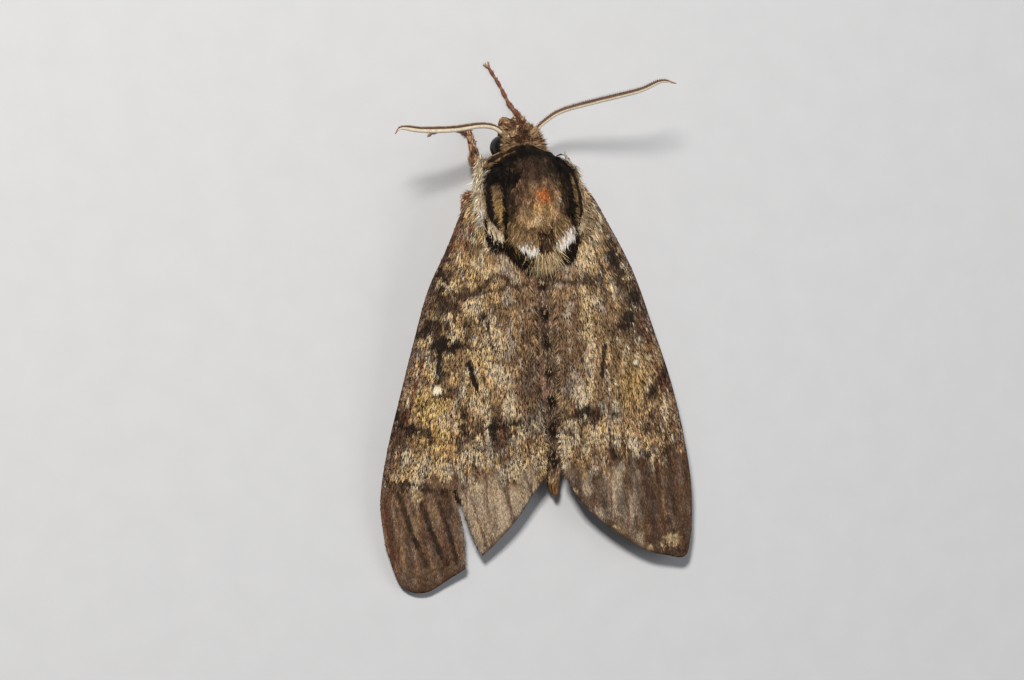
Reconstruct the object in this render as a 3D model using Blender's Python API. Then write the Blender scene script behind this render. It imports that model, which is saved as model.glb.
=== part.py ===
"""A waved sphinx moth at rest, life size, with its forewings folded back over the abdomen.

The head points along +Y, the back is up, and +X is the moth's right side. Sizes and places are in
millimetres, and new_object turns them into metres. The origin is on the flat under the abdomen.
"""

import math
import random

import bmesh
import bpy
from mathutils import Matrix, Vector

MM = 0.001
GAP = 0.3

# Body, as stations from the head's front to the tail: place along Y, half width, lowest and highest point
BODY = [
    (25.2, 0.7, 3.7, 5.1),
    (24.7, 1.5, 2.9, 5.9),
    (23.6, 2.1, 2.4, 6.5),
    (22.4, 2.4, 2.2, 6.9),
    (21.6, 2.8, 2.0, 7.3),
    (20.7, 4.1, 1.6, 8.5),
    (19.2, 5.0, 1.3, 9.7),
    (16.8, 5.6, 1.1, 10.4),
    (14.2, 5.6, 1.0, 10.4),
    (12.0, 5.0, 1.0, 9.6),
    (10.4, 4.2, 0.9, 8.5),
    (9.2, 3.7, 0.7, 7.6),
    (7.0, 3.8, 0.3, 7.3),
    (4.0, 3.8, -0.05, 6.95),
    (0.0, 3.6, -0.2, 6.35),
    (-4.0, 3.2, -0.2, 5.65),
    (-8.0, 2.65, -0.1, 4.9),
    (-12.0, 2.0, 0.1, 4.05),
    (-15.0, 1.35, 0.4, 3.3),
    (-16.6, 0.8, 0.8, 2.7),
    (-17.2, 0.4, 1.2, 2.3),
]
BODY_ROUNDNESS = 2.2
NECK_Y = 21.6
WAIST_Y = 9.2
HEAD_FRONT_Y = 25.2
TAIL_Y = -17.2
THORAX_RINGS = 14
BODY_SIDES = 22
ABDOMEN_SEGMENTS = 8
ABDOMEN_STEP = 0.045

# Locks of long scales: how wide they are along their length, how thick, and how deep they root
LOCK_SHAPE = [(0.0, 0.75), (0.35, 1.0), (0.72, 0.68)]
LOCK_THICKNESS = 0.42
LOCK_SUNK = 0.7

# Tegulae, the scaled flaps over the wing roots: path and half width along it, for the right side
TEGULA_PATH = [(3.3, 20.2, 8.4), (4.6, 17.8, 8.9), (5.15, 14.8, 8.95), (5.0, 12.4, 8.85), (4.9, 10.9, 8.6)]
TEGULA_HALF_WIDTHS = [0.7, 1.5, 1.7, 1.45, 0.7]
TEGULA_TILT = 38
TEGULA_FLATNESS = 0.36

# Locks of the thorax: the collar, the flanks, the ends of the flaps, the brushes behind and the fan
COLLAR_Y = 20.9
COLLAR_DEGREES = range(22, 160, 17)
COLLAR_LOCK_WIDTH = 1.9
FLANK_LOCKS = [(20.3, 24), (19.9, -4), (19.3, 14), (18.8, -12), (18.4, 6)]
FLANK_LOCK_WIDTH = 1.5
FLAP_END = Vector((4.3, 11.7, 8.95))
FLAP_END_STEP = Vector((0.55, 0.2, -0.2))
BRUSH_ROOT = Vector((0.9, 11.6, 9.25))
BRUSH_STEP = Vector((0.75, -0.05, -0.12))
BRUSH_LOCK_WIDTH = 1.3
FAN_ROOT = Vector((0, 10.9, 8.55))
FAN_LOCKS = 5
FAN_STEP = 0.5
FAN_LOCK_WIDTH = 1.1

# Locks of the head's crown, in two rows, and of the tail
CROWN_FRONT_Y = 23.9
CROWN_FRONT_DEGREES = (60, 90, 120)
CROWN_REAR_Y = 22.6
CROWN_REAR_DEGREES = (40, 65, 90, 115, 140)
CHEEK_Y = 22.2
CHEEK_DEGREES = 62
CROWN_LOCK_WIDTH = 1.5
TAIL_LOCKS = 9
TAIL_LOCK_Y = -16.2
TAIL_LOCK_Z = 1.75
TAIL_LOCK_WIDTH = 0.95

# Head pieces
EYE_CENTRE = Vector((1.75, 22.1, 4.45))
EYE_RADIUS = 1.42
PALP_PATH = [(0.8, 23.8, 2.5), (0.85, 25.0, 2.75), (0.8, 25.7, 3.6), (0.7, 25.6, 4.8)]
PALP_RADII = [0.55, 0.8, 0.8, 0.35]
SCAPE_LENGTH = 0.75
SCAPE_RADIUS = 0.45
SCAPE_SUNK = 1.2
ANTENNA_RINGS = 50
ANTENNA_RADII = [(0, 0.24), (0.2, 0.3), (0.6, 0.36), (0.85, 0.31), (0.95, 0.2), (1, 0.1)]
ANTENNA_TOOTH = 0.07
ANTENNA_RIGHT = [(1.85, 23.45, 6.1), (3.1, 24.45, 6.9), (4.9, 25.3, 7.9), (8.7, 25.85, 10.0),
                 (12.9, 26.35, 11.9), (15.3, 27.05, 12.8), (17.0, 26.6, 13.1)]
ANTENNA_LEFT = [(-1.9, 23.5, 6.1), (-3.2, 24.3, 6.9), (-5.2, 24.6, 7.9), (-9.0, 24.4, 9.7),
                (-13.1, 24.6, 11.5), (-15.7, 25.0, 12.6), (-16.6, 24.4, 12.9)]

# Forewings: their edges from the root in plan and height; the left one is spread further than the right
WING_THICKNESS = 0.52
VEIN_HEIGHT = 0.17
VEIN_HALF_WIDTH = 0.2
VEIN_FADE = 0.06
WING_CROWN = 0.7
RIGHT_COSTA = [(4.0, 16.6, 6.9), (6.9, 16.3, 6.6), (9.2, 12.0, 6.3), (11.7, 6.1, 5.7), (13.5, -0.7, 5.0),
               (14.95, -6.6, 4.4), (15.95, -13.0, 3.7), (16.3, -19.0, 3.1), (15.8, -24.3, 2.6)]
RIGHT_MARGIN = [(15.8, -24.3, 2.6), (14.7, -27.1, 2.45), (12.4, -26.7, 2.7), (9.6, -25.6, 3.05),
                (5.9, -22.8, 3.6), (2.6, -19.4, 4.0), (0.9, -16.3, 4.35)]
RIGHT_INNER = [(3.0, 13.0, 7.9), (2.2, 8.6, 8.0), (1.2, 4.2, 7.85), (1.0, -4.0, 6.7), (0.45, -11.0, 5.35),
               (0.9, -16.3, 4.35)]
LEFT_COSTA = [(-4.0, 16.8, 6.9), (-7.2, 16.4, 6.6), (-10.3, 11.3, 6.0), (-12.9, 7.0, 5.4), (-15.0, 1.7, 4.6),
              (-17.2, -4.3, 3.7), (-19.3, -10.3, 2.9), (-20.7, -16.0, 2.2), (-20.6, -21.0, 1.5)]
LEFT_MARGIN = [(-20.6, -21.0, 1.5), (-19.3, -25.6, 1.0), (-16.8, -26.9, 1.05), (-14.0, -25.9, 1.3),
               (-9.7, -23.7, 2.1), (-5.6, -20.4, 3.0), (-2.9, -17.2, 3.7), (-1.4, -15.7, 4.05)]
LEFT_INNER = [(-3.0, 13.0, 7.9), (-2.3, 8.6, 8.0), (-1.5, 4.2, 7.85), (-1.7, -4.0, 6.6), (-1.2, -11.0, 5.2),
              (-1.4, -15.7, 4.05)]
FOREWING_ROWS = 18
# Each vein: its share across the wing at root, cell end and margin, and where it starts and ends
FOREWING_VEINS = [
    (0.10, 0.045, 0.03, 0.0, 0.72),
    (0.22, 0.105, 0.07, 0.0, 0.92),
    (0.32, 0.18, 0.16, 0.42, 1.0),
    (0.41, 0.28, 0.27, 0.5, 1.0),
    (0.50, 0.38, 0.39, 0.52, 1.0),
    (0.58, 0.475, 0.51, 0.48, 1.0),
    (0.66, 0.57, 0.63, 0.0, 1.0),
    (0.74, 0.67, 0.755, 0.3, 1.0),
    (0.87, 0.86, 0.90, 0.0, 1.0),
]
CELL_END = 0.45
# The tear of the left forewing, as its two sides in plan
TEAR = [(-12.5, -15.5), (-11.95, -17.8), (-11.65, -20.3), (-11.6, -23.0), (-11.4, -26.5),
        (-9.0, -26.0), (-9.75, -23.6), (-10.6, -21.6), (-11.05, -20.0), (-11.55, -17.9), (-12.15, -15.8)]

# Hindwings lie under the forewings, whose shape they follow: shares of its length and width that they fill
HINDWING_LENGTH = 0.70
HINDWING_FRONT = 0.20
HINDWING_BACK = 0.86
HINDWING_ROWS = 11
HINDWING_VEINS = [
    (0.12, 0.13, 0.15, 0.0, 1.0),
    (0.34, 0.34, 0.36, 0.0, 1.0),
    (0.56, 0.56, 0.58, 0.0, 1.0),
    (0.78, 0.78, 0.80, 0.0, 1.0),
]

# Legs, by their joints from hip to foot tip, with the places of the spur pairs on the shin, and the locks
THIGH_SAG = 0.3
LEG_RADII = [0.75, 0.85, 0.85, 0.8, 0.66, 0.55, 0.48, 0.42, 0.38, 0.34]
TARSUS_JOINTS = 5
TARSUS_RADIUS = 0.28
TARSUS_WAIST = 0.2
FOOT_Z = 0.22
CLAW_LENGTH = 0.55
CLAW_SPREAD = 0.45
CLAW_SUNK = 0.15
CLAW_OFFSET = 0.08
SPUR_LENGTH = 1.5
SPUR_SPREAD = 0.5
THIGH_LOCKS_SHARE = 0.6
LEG_LOCK_LENGTH = (1.5, 1.9)
LEG_LOCK_WIDTH = (1.2, 1.5)
SPIKE_RADIUS = 0.13
LEGS = {
    "foreleg_right": {"hip": (1.7, 19.6, 2.2), "knee": (3.3, 22.4, 1.4), "ankle": (2.2, 25.3, 1.0),
                      "toes": [(1.2, 27.3), (0.35, 29.5), (-0.75, 31.8)], "spurs": [0.75], "locks": 5},
    "foreleg_left": {"hip": (-1.7, 19.4, 2.2), "knee": (-4.45, 20.8, 2.9), "ankle": (-4.3, 24.5, 1.0),
                     "toes": [(-5.6, 25.1), (-7.0, 25.2), (-8.6, 25.0)], "spurs": [0.75], "locks": 6},
    "midleg_right": {"hip": (2.0, 16.2, 2.0), "knee": (5.9, 16.8, 2.7), "ankle": (8.2, 12.8, 1.0),
                     "toes": [(9.0, 10.9), (9.6, 9.0), (10.0, 7.2)], "spurs": [0.93], "locks": 4},
    "midleg_left": {"hip": (-2.0, 16.2, 2.0), "knee": (-5.95, 16.9, 2.9), "ankle": (-6.9, 12.6, 1.0),
                    "toes": [(-7.8, 10.9), (-8.5, 9.1), (-9.1, 7.3)], "spurs": [0.93], "locks": 5},
    "hindleg_right": {"hip": (1.9, 12.4, 1.9), "knee": (6.4, 9.2, 2.8), "ankle": (8.2, 2.6, 1.0),
                      "toes": [(8.6, 0.4), (8.8, -1.8), (8.9, -4.0)], "spurs": [0.6, 0.95], "locks": 3},
    "hindleg_left": {"hip": (-1.9, 12.4, 1.9), "knee": (-6.6, 9.2, 2.8), "ankle": (-8.8, 2.8, 1.0),
                     "toes": [(-9.4, 0.7), (-9.8, -1.4), (-10.1, -3.5)], "spurs": [0.6, 0.95], "locks": 3},
}


def material(name, colour, roughness):
    made = bpy.data.materials.new(name)
    made.use_nodes = True
    shader = made.node_tree.nodes["Principled BSDF"]
    shader.inputs["Base Color"].default_value = (*colour, 1)
    shader.inputs["Roughness"].default_value = roughness
    shader.inputs["Metallic"].default_value = 0
    return made


def smooth_curve(points, count):
    """Evenly spread points along a Catmull-Rom curve through the given ones."""
    knots = [Vector(p) for p in points]
    knots = [2 * knots[0] - knots[1], *knots, 2 * knots[-1] - knots[-2]]
    fine = []
    for a, b, c, d in zip(knots, knots[1:], knots[2:], knots[3:]):
        for step in range(16):
            t = step / 16
            fine.append(0.5 * (2 * b + (c - a) * t + (2 * a - 5 * b + 4 * c - d) * t * t
                               + (3 * b - a - 3 * c + d) * t ** 3))
    fine.append(knots[-2])
    lengths = [0.0]
    for a, b in zip(fine, fine[1:]):
        lengths.append(lengths[-1] + (b - a).length)
    spread, at = [], 0
    for k in range(count):
        want = lengths[-1] * k / (count - 1)
        while at < len(fine) - 2 and lengths[at + 1] < want:
            at += 1
        share = (want - lengths[at]) / max(lengths[at + 1] - lengths[at], 1e-9)
        spread.append(fine[at].lerp(fine[at + 1], min(share, 1)))
    return spread


def along(stations, place):
    """The values of stations, listed by falling place, at any place between them, on a smooth curve."""
    place = min(max(place, stations[-1][0]), stations[0][0])
    n = next(i for i in range(1, len(stations)) if stations[i][0] <= place)
    a, b = stations[n - 1], stations[n]
    before, after = stations[max(n - 2, 0)], stations[min(n + 1, len(stations) - 1)]
    t, span = (place - a[0]) / (b[0] - a[0]), b[0] - a[0]
    values = []
    for i in range(1, len(a)):
        slope_a = (b[i] - before[i]) / (b[0] - before[0]) * span
        slope_b = (after[i] - a[i]) / (after[0] - a[0]) * span
        values.append(a[i] * (2 * t ** 3 - 3 * t * t + 1) + b[i] * (3 * t * t - 2 * t ** 3)
                      + slope_a * (t ** 3 - 2 * t * t + t) + slope_b * (t ** 3 - t * t))
    return values


def eased(low, high, share):
    share = min(max(share, 0), 1)
    return low + (high - low) * share * share * (3 - 2 * share)


def new_object(name, mesh, finish):
    """An object from a bmesh in millimetres."""
    bmesh.ops.recalc_face_normals(mesh, faces=mesh.faces)
    bmesh.ops.scale(mesh, vec=(MM, MM, MM), verts=mesh.verts)
    data = bpy.data.meshes.new(name)
    mesh.to_mesh(data)
    mesh.free()
    data.materials.append(finish)
    made = bpy.data.objects.new(name, data)
    bpy.context.scene.collection.objects.link(made)
    return made


def skin(rings, tip=None, start_tip=None):
    """A closed bmesh drawn ring by ring, flat at its ends or drawn to a tip."""
    mesh = bmesh.new()
    verts = [mesh.verts.new(p) for p in rings[0]]
    first = [mesh.edges.new((a, b)) for a, b in zip(verts, verts[1:] + verts[:1])]
    loop = first
    for ring in rings[1:]:
        grown = bmesh.ops.extrude_edge_only(mesh, edges=loop)["geom"]
        fresh = [g for g in grown if isinstance(g, bmesh.types.BMVert)]
        for vert, place in zip(fresh, ring):
            vert.co = place
        loop = [g for g in grown if isinstance(g, bmesh.types.BMEdge)]
    for edges, point in ((first, start_tip), (loop, tip)):
        cap = bmesh.ops.contextual_create(mesh, geom=edges)["faces"]
        if point is not None:
            centre = bmesh.ops.poke(mesh, faces=cap)["verts"][0]
            centre.co = point
    return mesh


def tube_rings(points, radii, sides, flat=1.0, up=None):
    """Rings square to a path; flat under 1 makes them thin along up, which is the world's Z if not given."""
    rings = []
    lift = up or Vector((0, 0, 1))
    side = None
    for k, point in enumerate(points):
        ahead = (points[min(k + 1, len(points) - 1)] - points[max(k - 1, 0)]).normalized()
        if side is None:
            side = ahead.cross(lift)
            if side.length < 0.1:
                side = ahead.cross(Vector((1, 0, 0)))
        side = (side - ahead * side.dot(ahead)).normalized()
        over = side.cross(ahead)
        ring = []
        for n in range(sides):
            angle = 2 * math.pi * (n + (0 if up else 0.5)) / sides
            ring.append(point + radii[k] * (side * math.cos(angle) + over * math.sin(angle) * flat))
        rings.append(ring)
    return rings


def tube(points, radii, sides=8, flat=1.0, up=None, tip=None):
    return skin(tube_rings([Vector(p) for p in points], radii, sides, flat, up), tip)


def lock(root, ahead, up, length, width, bend=0.25):
    """A flat tapering lock of long scales that leaves its root along ahead and bends back down."""
    ahead, up = ahead.normalized(), up.normalized()
    places = [root + ahead * length * t - up * bend * length * t * t for t, _ in LOCK_SHAPE]
    radii = [width / 2 * share for _, share in LOCK_SHAPE]
    tip = root + ahead * length - up * bend * length
    return new_object("lock", tube(places, radii, 4, LOCK_THICKNESS, up, tip), FINISH["fur"])


def spike(root, ahead, length):
    end = root + ahead.normalized() * length
    radii = [SPIKE_RADIUS, SPIKE_RADIUS * 0.7]
    return new_object("spike", tube([root, root.lerp(end, 0.5)], radii, 5, tip=end), FINISH["leg"])


def body_point(y, angle, grow=0.0, scale=1.0):
    """A point of the body's surface; the angle runs from the right side over the back."""
    half_width, low, high = along(BODY, y)
    c, s = math.cos(angle), math.sin(angle)
    x = math.copysign(abs(c) ** (2 / BODY_ROUNDNESS), c) * (half_width * scale + grow)
    half_height = (high - low) / 2 * scale + grow
    z = math.copysign(abs(s) ** (2 / BODY_ROUNDNESS), s) * half_height + (low + high) / 2
    return Vector((x, y, z if grow else max(z, 0)))


def body_lock(y, degrees, ahead, length, width, bend=0.25, lift=0.15):
    """A lock rooted in the body, which leaves it along the surface and lifts off it at the tip."""
    angle = math.radians(degrees)
    here = body_point(y, angle)
    across = body_point(y, angle + 0.05) - body_point(y, angle - 0.05)
    normal = across.cross(body_point(y + 0.1, angle) - body_point(y - 0.1, angle)).normalized()
    if normal.dot(here - Vector((0, y, here.z * 0.5 + 2))) < 0:
        normal = -normal
    flow = Vector(ahead)
    flow = (flow - normal * flow.dot(normal)).normalized() + normal * (lift + bend)
    root = here - normal * 0.2 - flow.normalized() * LOCK_SUNK
    return lock(root, flow, normal, length + LOCK_SUNK, width, bend)


def body_piece(front, back, rings, grow=0.0, front_tip=None):
    """A length of the body between two flat cuts; grown by a gap, it cuts its neighbours clear."""
    places = [front + grow - (front - back + 2 * grow) * k / (rings - 1) for k in range(rings)]
    loops = [[body_point(y, 2 * math.pi * n / BODY_SIDES, grow) for n in range(BODY_SIDES)] for y in places]
    return skin(loops, None, front_tip)


def apply_boolean(target, operation, other=None, group=None):
    cut = target.modifiers.new("join", "BOOLEAN")
    cut.operation = operation
    cut.solver = "EXACT"
    if group:
        cut.operand_type = "COLLECTION"
        cut.collection = group
    else:
        cut.object = other
    bpy.context.view_layer.objects.active = target
    bpy.ops.object.modifier_apply(modifier=cut.name)


def keep_largest(target):
    """Drops all but the largest closed surface of a mesh."""
    mesh = bmesh.new()
    mesh.from_mesh(target.data)
    left, shells = set(mesh.faces), []
    while left:
        shell, edge = set(), [left.pop()]
        while edge:
            face = edge.pop()
            shell.add(face)
            near = {f for e in face.edges for f in e.link_faces} & left
            left -= near
            edge.extend(near)
        shells.append(shell)
    shells.sort(key=lambda shell: sum(f.calc_area() for f in shell))
    drop = [f for shell in shells[:-1] for f in shell]
    bmesh.ops.delete(mesh, geom=drop, context="FACES")
    mesh.to_mesh(target.data)
    mesh.free()


def fuse(target, pieces):
    """Joins pieces to a node with one union, and removes them."""
    group = bpy.data.collections.new(target.name + "_pieces")
    bpy.context.scene.collection.children.link(group)
    for piece in pieces:
        group.objects.link(piece)
    apply_boolean(target, "UNION", group=group)
    for piece in pieces:
        bpy.data.objects.remove(piece)
    bpy.data.collections.remove(group)
    keep_largest(target)


def cut_clear(target, cutter):
    """Cuts a node back from a grown copy of its neighbour, and removes the cutter."""
    cutter.hide_render = True
    cutter.display_type = "WIRE"
    apply_boolean(target, "DIFFERENCE", cutter)
    bpy.data.objects.remove(cutter)
    keep_largest(target)


def grown_thorax():
    form = body_piece(NECK_Y - GAP / 2, WAIST_Y + GAP / 2, THORAX_RINGS, GAP)
    return new_object("grown_thorax", form, FINISH["fur"])


def grown_abdomen():
    return new_object("grown_abdomen", body_piece(WAIST_Y, TAIL_Y, 26, GAP), FINISH["fur"])


def vein_share(vein, s):
    """Where a vein crosses the wing at a share s of its length: 0 at the costa, 1 at the inner edge."""
    root, cell, margin, _, _ = vein
    if s < CELL_END:
        return eased(root, cell, s / CELL_END)
    return cell + (margin - cell) * (s - CELL_END) / (1 - CELL_END)


def wing_columns(veins, s, width):
    """Shares across the wing where its mesh has a line, and how high each stands: three for each vein."""
    columns = [(0.0, 0.0)]
    half = VEIN_HALF_WIDTH / width
    for vein in veins:
        centre = vein_share(vein, s)
        height = VEIN_HEIGHT * eased(0, 1, (s - vein[3]) / VEIN_FADE) * eased(0, 1, (vein[4] - s) / VEIN_FADE)
        columns += [(centre - half, 0.0), (centre, height), (centre + half, 0.0)]
    return columns + [(1.0, 0.0)]


def wing_point(edges, s, t):
    """A point of the wing's upper face: s runs from root to margin, t from costa to inner edge."""
    costa, inner, margin = edges
    last = len(costa) - 1
    low = min(int(s * last), last - 1)
    front = costa[low].lerp(costa[low + 1], s * last - low)
    back = inner[low].lerp(inner[low + 1], s * last - low)
    step = min(int(t * (len(margin) - 1)), len(margin) - 2)
    rim = margin[step].lerp(margin[step + 1], t * (len(margin) - 1) - step)
    chord = costa[-1].lerp(inner[-1], t)
    crown = WING_CROWN * math.sin(math.pi * t) * math.sin(math.pi * (0.15 + 0.75 * s))
    return front.lerp(back, t) + (rim - chord) * s ** 3 + Vector((0, 0, crown))


def plate(points, rows, columns):
    """A thin closed plate over a grid of upper points, with like triangles on both faces."""
    mesh = bmesh.new()
    bmesh.ops.create_grid(mesh, x_segments=columns - 1, y_segments=rows - 1, size=1)
    ordered = sorted(mesh.verts, key=lambda v: (round(v.co.y, 5), round(v.co.x, 5)))
    for vert, place in zip(ordered, points):
        vert.co = place
    bmesh.ops.triangulate(mesh, faces=mesh.faces)
    grown = bmesh.ops.extrude_face_region(mesh, geom=mesh.faces[:], use_keep_orig=True)["geom"]
    lower = [g for g in grown if isinstance(g, bmesh.types.BMVert)]
    bmesh.ops.translate(mesh, vec=(0, 0, -WING_THICKNESS), verts=lower)
    return mesh


def wing_edges(costa, inner, margin):
    return smooth_curve(costa, 33), smooth_curve(inner, 33), smooth_curve(margin, 33)


def forewing(name, edges, tear=None):
    points = []
    for row in range(FOREWING_ROWS):
        s = row / (FOREWING_ROWS - 1)
        width = (wing_point(edges, s, 0) - wing_point(edges, s, 1)).length
        columns = wing_columns(FOREWING_VEINS, s, max(width, 9))
        points += [wing_point(edges, s, t) + Vector((0, 0, height)) for t, height in columns]
    made = new_object(name, plate(points, FOREWING_ROWS, len(columns)), FINISH["forewing"])
    cut_clear(made, grown_thorax())
    if tear:
        cut_clear(made, tear_cutter(tear))
    return made


def tear_cutter(outline):
    mesh = bmesh.new()
    face = mesh.faces.new([mesh.verts.new((x, y, -1)) for x, y in outline])
    top = bmesh.ops.extrude_face_region(mesh, geom=[face], use_keep_orig=True)["geom"]
    bmesh.ops.translate(mesh, vec=(0, 0, 12), verts=[g for g in top if isinstance(g, bmesh.types.BMVert)])
    return new_object("tear", mesh, FINISH["forewing"])


def hindwing(name, edges):
    drop = Vector((0, 0, WING_THICKNESS + GAP + 2 * VEIN_HEIGHT))
    points = []
    for row in range(HINDWING_ROWS):
        share = row / (HINDWING_ROWS - 1)
        columns = wing_columns(HINDWING_VEINS, share, 9)
        for t, height in columns:
            reach = HINDWING_LENGTH * (1 - 0.22 * t * t - 0.10 * (1 - t) ** 2)
            across = HINDWING_FRONT + (HINDWING_BACK - HINDWING_FRONT) * t
            place = wing_point(edges, 0.02 + (reach - 0.02) * share, across)
            points.append(place + Vector((0, 0, height)) - drop)
    made = new_object(name, plate(points, HINDWING_ROWS, len(columns)), FINISH["hindwing"])
    cut_clear(made, grown_thorax())
    cut_clear(made, grown_abdomen())
    return made


def tarsus(name, ankle, toes):
    """The jointed foot, flat along its sole, which lies on the floor."""
    path = smooth_curve([ankle, *toes], 2 * TARSUS_JOINTS + 1)
    radii = [TARSUS_RADIUS if k % 2 == 0 else TARSUS_WAIST for k in range(1, len(path) + 1)]
    radii[-1] = TARSUS_WAIST
    rings = tube_rings(path, radii, 8)
    for ring in rings:
        for place in ring:
            place.z = max(place.z, 0.0)
    return new_object(name, skin(rings), FINISH["leg"])


def leg(name, plan):
    """Hip, thigh and shin as one tapering tube, with the foot, claws, spurs and locks joined on."""
    hip, knee, ankle = (Vector(plan[k]) for k in ("hip", "knee", "ankle"))
    toes = [Vector((x, y, FOOT_Z)) for x, y in plan["toes"]]
    bends = [hip, hip.lerp(knee, 0.5) - Vector((0, 0, THIGH_SAG)), knee, knee.lerp(ankle, 0.55), ankle]
    made = new_object(name, tube(smooth_curve(bends, len(LEG_RADII)), LEG_RADII), FINISH["leg"])
    pieces = [tarsus("foot", ankle, toes)]
    forward = (toes[-1] - toes[-2]).normalized()
    side = forward.cross(Vector((0, 0, 1)))
    for way in (-1, 1):
        root = toes[-1] - forward * CLAW_SUNK + side * CLAW_OFFSET * way
        pieces.append(spike(root, forward + side * CLAW_SPREAD * way, CLAW_LENGTH))
        for share in plan["spurs"]:
            shin = (ankle - knee).normalized()
            across = shin.cross(Vector((0, 0, 1))).normalized() * way
            pieces.append(spike(knee.lerp(ankle, share), shin + across * SPUR_SPREAD, SPUR_LENGTH))
    chance = random.Random(name)
    outward = Vector((math.copysign(1, knee.x), 0, 0))
    for n in range(plan["locks"]):
        share = (n + 0.5) / plan["locks"]
        on_thigh = share < THIGH_LOCKS_SHARE
        beyond = share - THIGH_LOCKS_SHARE
        root = hip.lerp(knee, 0.45 + 0.55 * share) if on_thigh else knee.lerp(ankle, beyond)
        flow = (ankle - knee).normalized() + outward * chance.uniform(-0.3, 0.15)
        flow.z += chance.uniform(0.1, 0.3)
        up = Vector((outward.x * 0.5, 0, 1))
        pieces.append(lock(root, flow, up, chance.uniform(*LEG_LOCK_LENGTH), chance.uniform(*LEG_LOCK_WIDTH)))
    fuse(made, pieces)
    cut_clear(made, grown_thorax())
    return made


def scape(path):
    """The antenna's first joint, which stands on the head."""
    root = Vector(path[0])
    ahead = (Vector(path[1]) - root).normalized()
    radii = [SCAPE_RADIUS, SCAPE_RADIUS, SCAPE_RADIUS * 0.85]
    places = [root - ahead * SCAPE_SUNK, root, root + ahead * SCAPE_LENGTH]
    return new_object("scape", tube(places, radii), FINISH["fur"])


def antenna(name, path):
    """The feeler beyond its first joint, toothed along its length and hooked at its tip."""
    curve = smooth_curve(path, 400)
    whole = sum((b - a).length for a, b in zip(curve, curve[1:]))
    start = round(400 * (SCAPE_LENGTH + GAP) / whole)
    places = smooth_curve(curve[start::20] + curve[-1:], ANTENNA_RINGS)
    stations = [(-share, radius) for share, radius in ANTENNA_RADII]
    radii = []
    for k in range(ANTENNA_RINGS):
        share = k / (ANTENNA_RINGS - 1)
        radii.append(along(stations, -share)[0] + ANTENNA_TOOTH * (k % 2) * min(1, 8 * (1 - share)))
    return new_object(name, tube(places, radii, 7), FINISH["antenna"])


def eye_ball(name, side, grow=0.0):
    mesh = bmesh.new()
    bmesh.ops.create_uvsphere(mesh, u_segments=16, v_segments=10, radius=EYE_RADIUS + grow)
    centre = Vector((EYE_CENTRE.x * side, EYE_CENTRE.y, EYE_CENTRE.z))
    bmesh.ops.transform(mesh, matrix=Matrix.Translation(centre), verts=mesh.verts)
    return new_object(name, mesh, FINISH["eye"])


def head_form(grow=0.0):
    front_tip = (0, HEAD_FRONT_Y + 0.2 + grow, 4.4)
    return body_piece(HEAD_FRONT_Y, NECK_Y + GAP / 2, 8, grow, front_tip)


def head():
    made = new_object("head", head_form(), FINISH["fur"])
    chance = random.Random(3)
    pieces = [scape(ANTENNA_RIGHT), scape(ANTENNA_LEFT)]
    for degrees in CROWN_FRONT_DEGREES:
        flow = (math.cos(math.radians(degrees)) * 0.6, 1, 0)
        pieces.append(body_lock(CROWN_FRONT_Y, degrees, flow, 1.6, CROWN_LOCK_WIDTH, 0.3, 0.1))
    for degrees in CROWN_REAR_DEGREES:
        flow = (math.cos(math.radians(degrees)), 1, 0)
        length = chance.uniform(1.3, 1.7)
        pieces.append(body_lock(CROWN_REAR_Y, degrees, flow, length, CROWN_LOCK_WIDTH, 0.25, 0.25))
    for side in (-1, 1):
        degrees = 90 - CHEEK_DEGREES * side
        pieces.append(body_lock(CHEEK_Y, degrees, (side, 0.1, 0), 1.1, 1.3, 0.2, 0.5))
    fuse(made, pieces)
    for side in (1, -1):
        cut_clear(made, eye_ball("socket", side, GAP))
    return made


def palp(name, side):
    places = smooth_curve([(x * side, y, z) for x, y, z in PALP_PATH], 8)
    stations = [(-k, radius) for k, radius in enumerate(PALP_RADII)]
    radii = [along(stations, -3 * n / 7)[0] for n in range(8)]
    tip = places[-1] + (places[-1] - places[-2]) * 0.6
    made = new_object(name, tube(places, radii, 10, tip=tip), FINISH["fur"])
    cut_clear(made, new_object("grown_head", head_form(GAP), FINISH["fur"]))
    return made


def tegula(side):
    places = smooth_curve([(x * side, y, z) for x, y, z in TEGULA_PATH], 9)
    stations = [(-k, width) for k, width in enumerate(TEGULA_HALF_WIDTHS)]
    radii = [along(stations, -4 * n / 8)[0] for n in range(9)]
    tilt = math.radians(TEGULA_TILT)
    up = Vector((math.sin(tilt) * side, 0, math.cos(tilt)))
    return new_object("tegula", tube(places, radii, 8, TEGULA_FLATNESS, up), FINISH["fur"])


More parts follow.
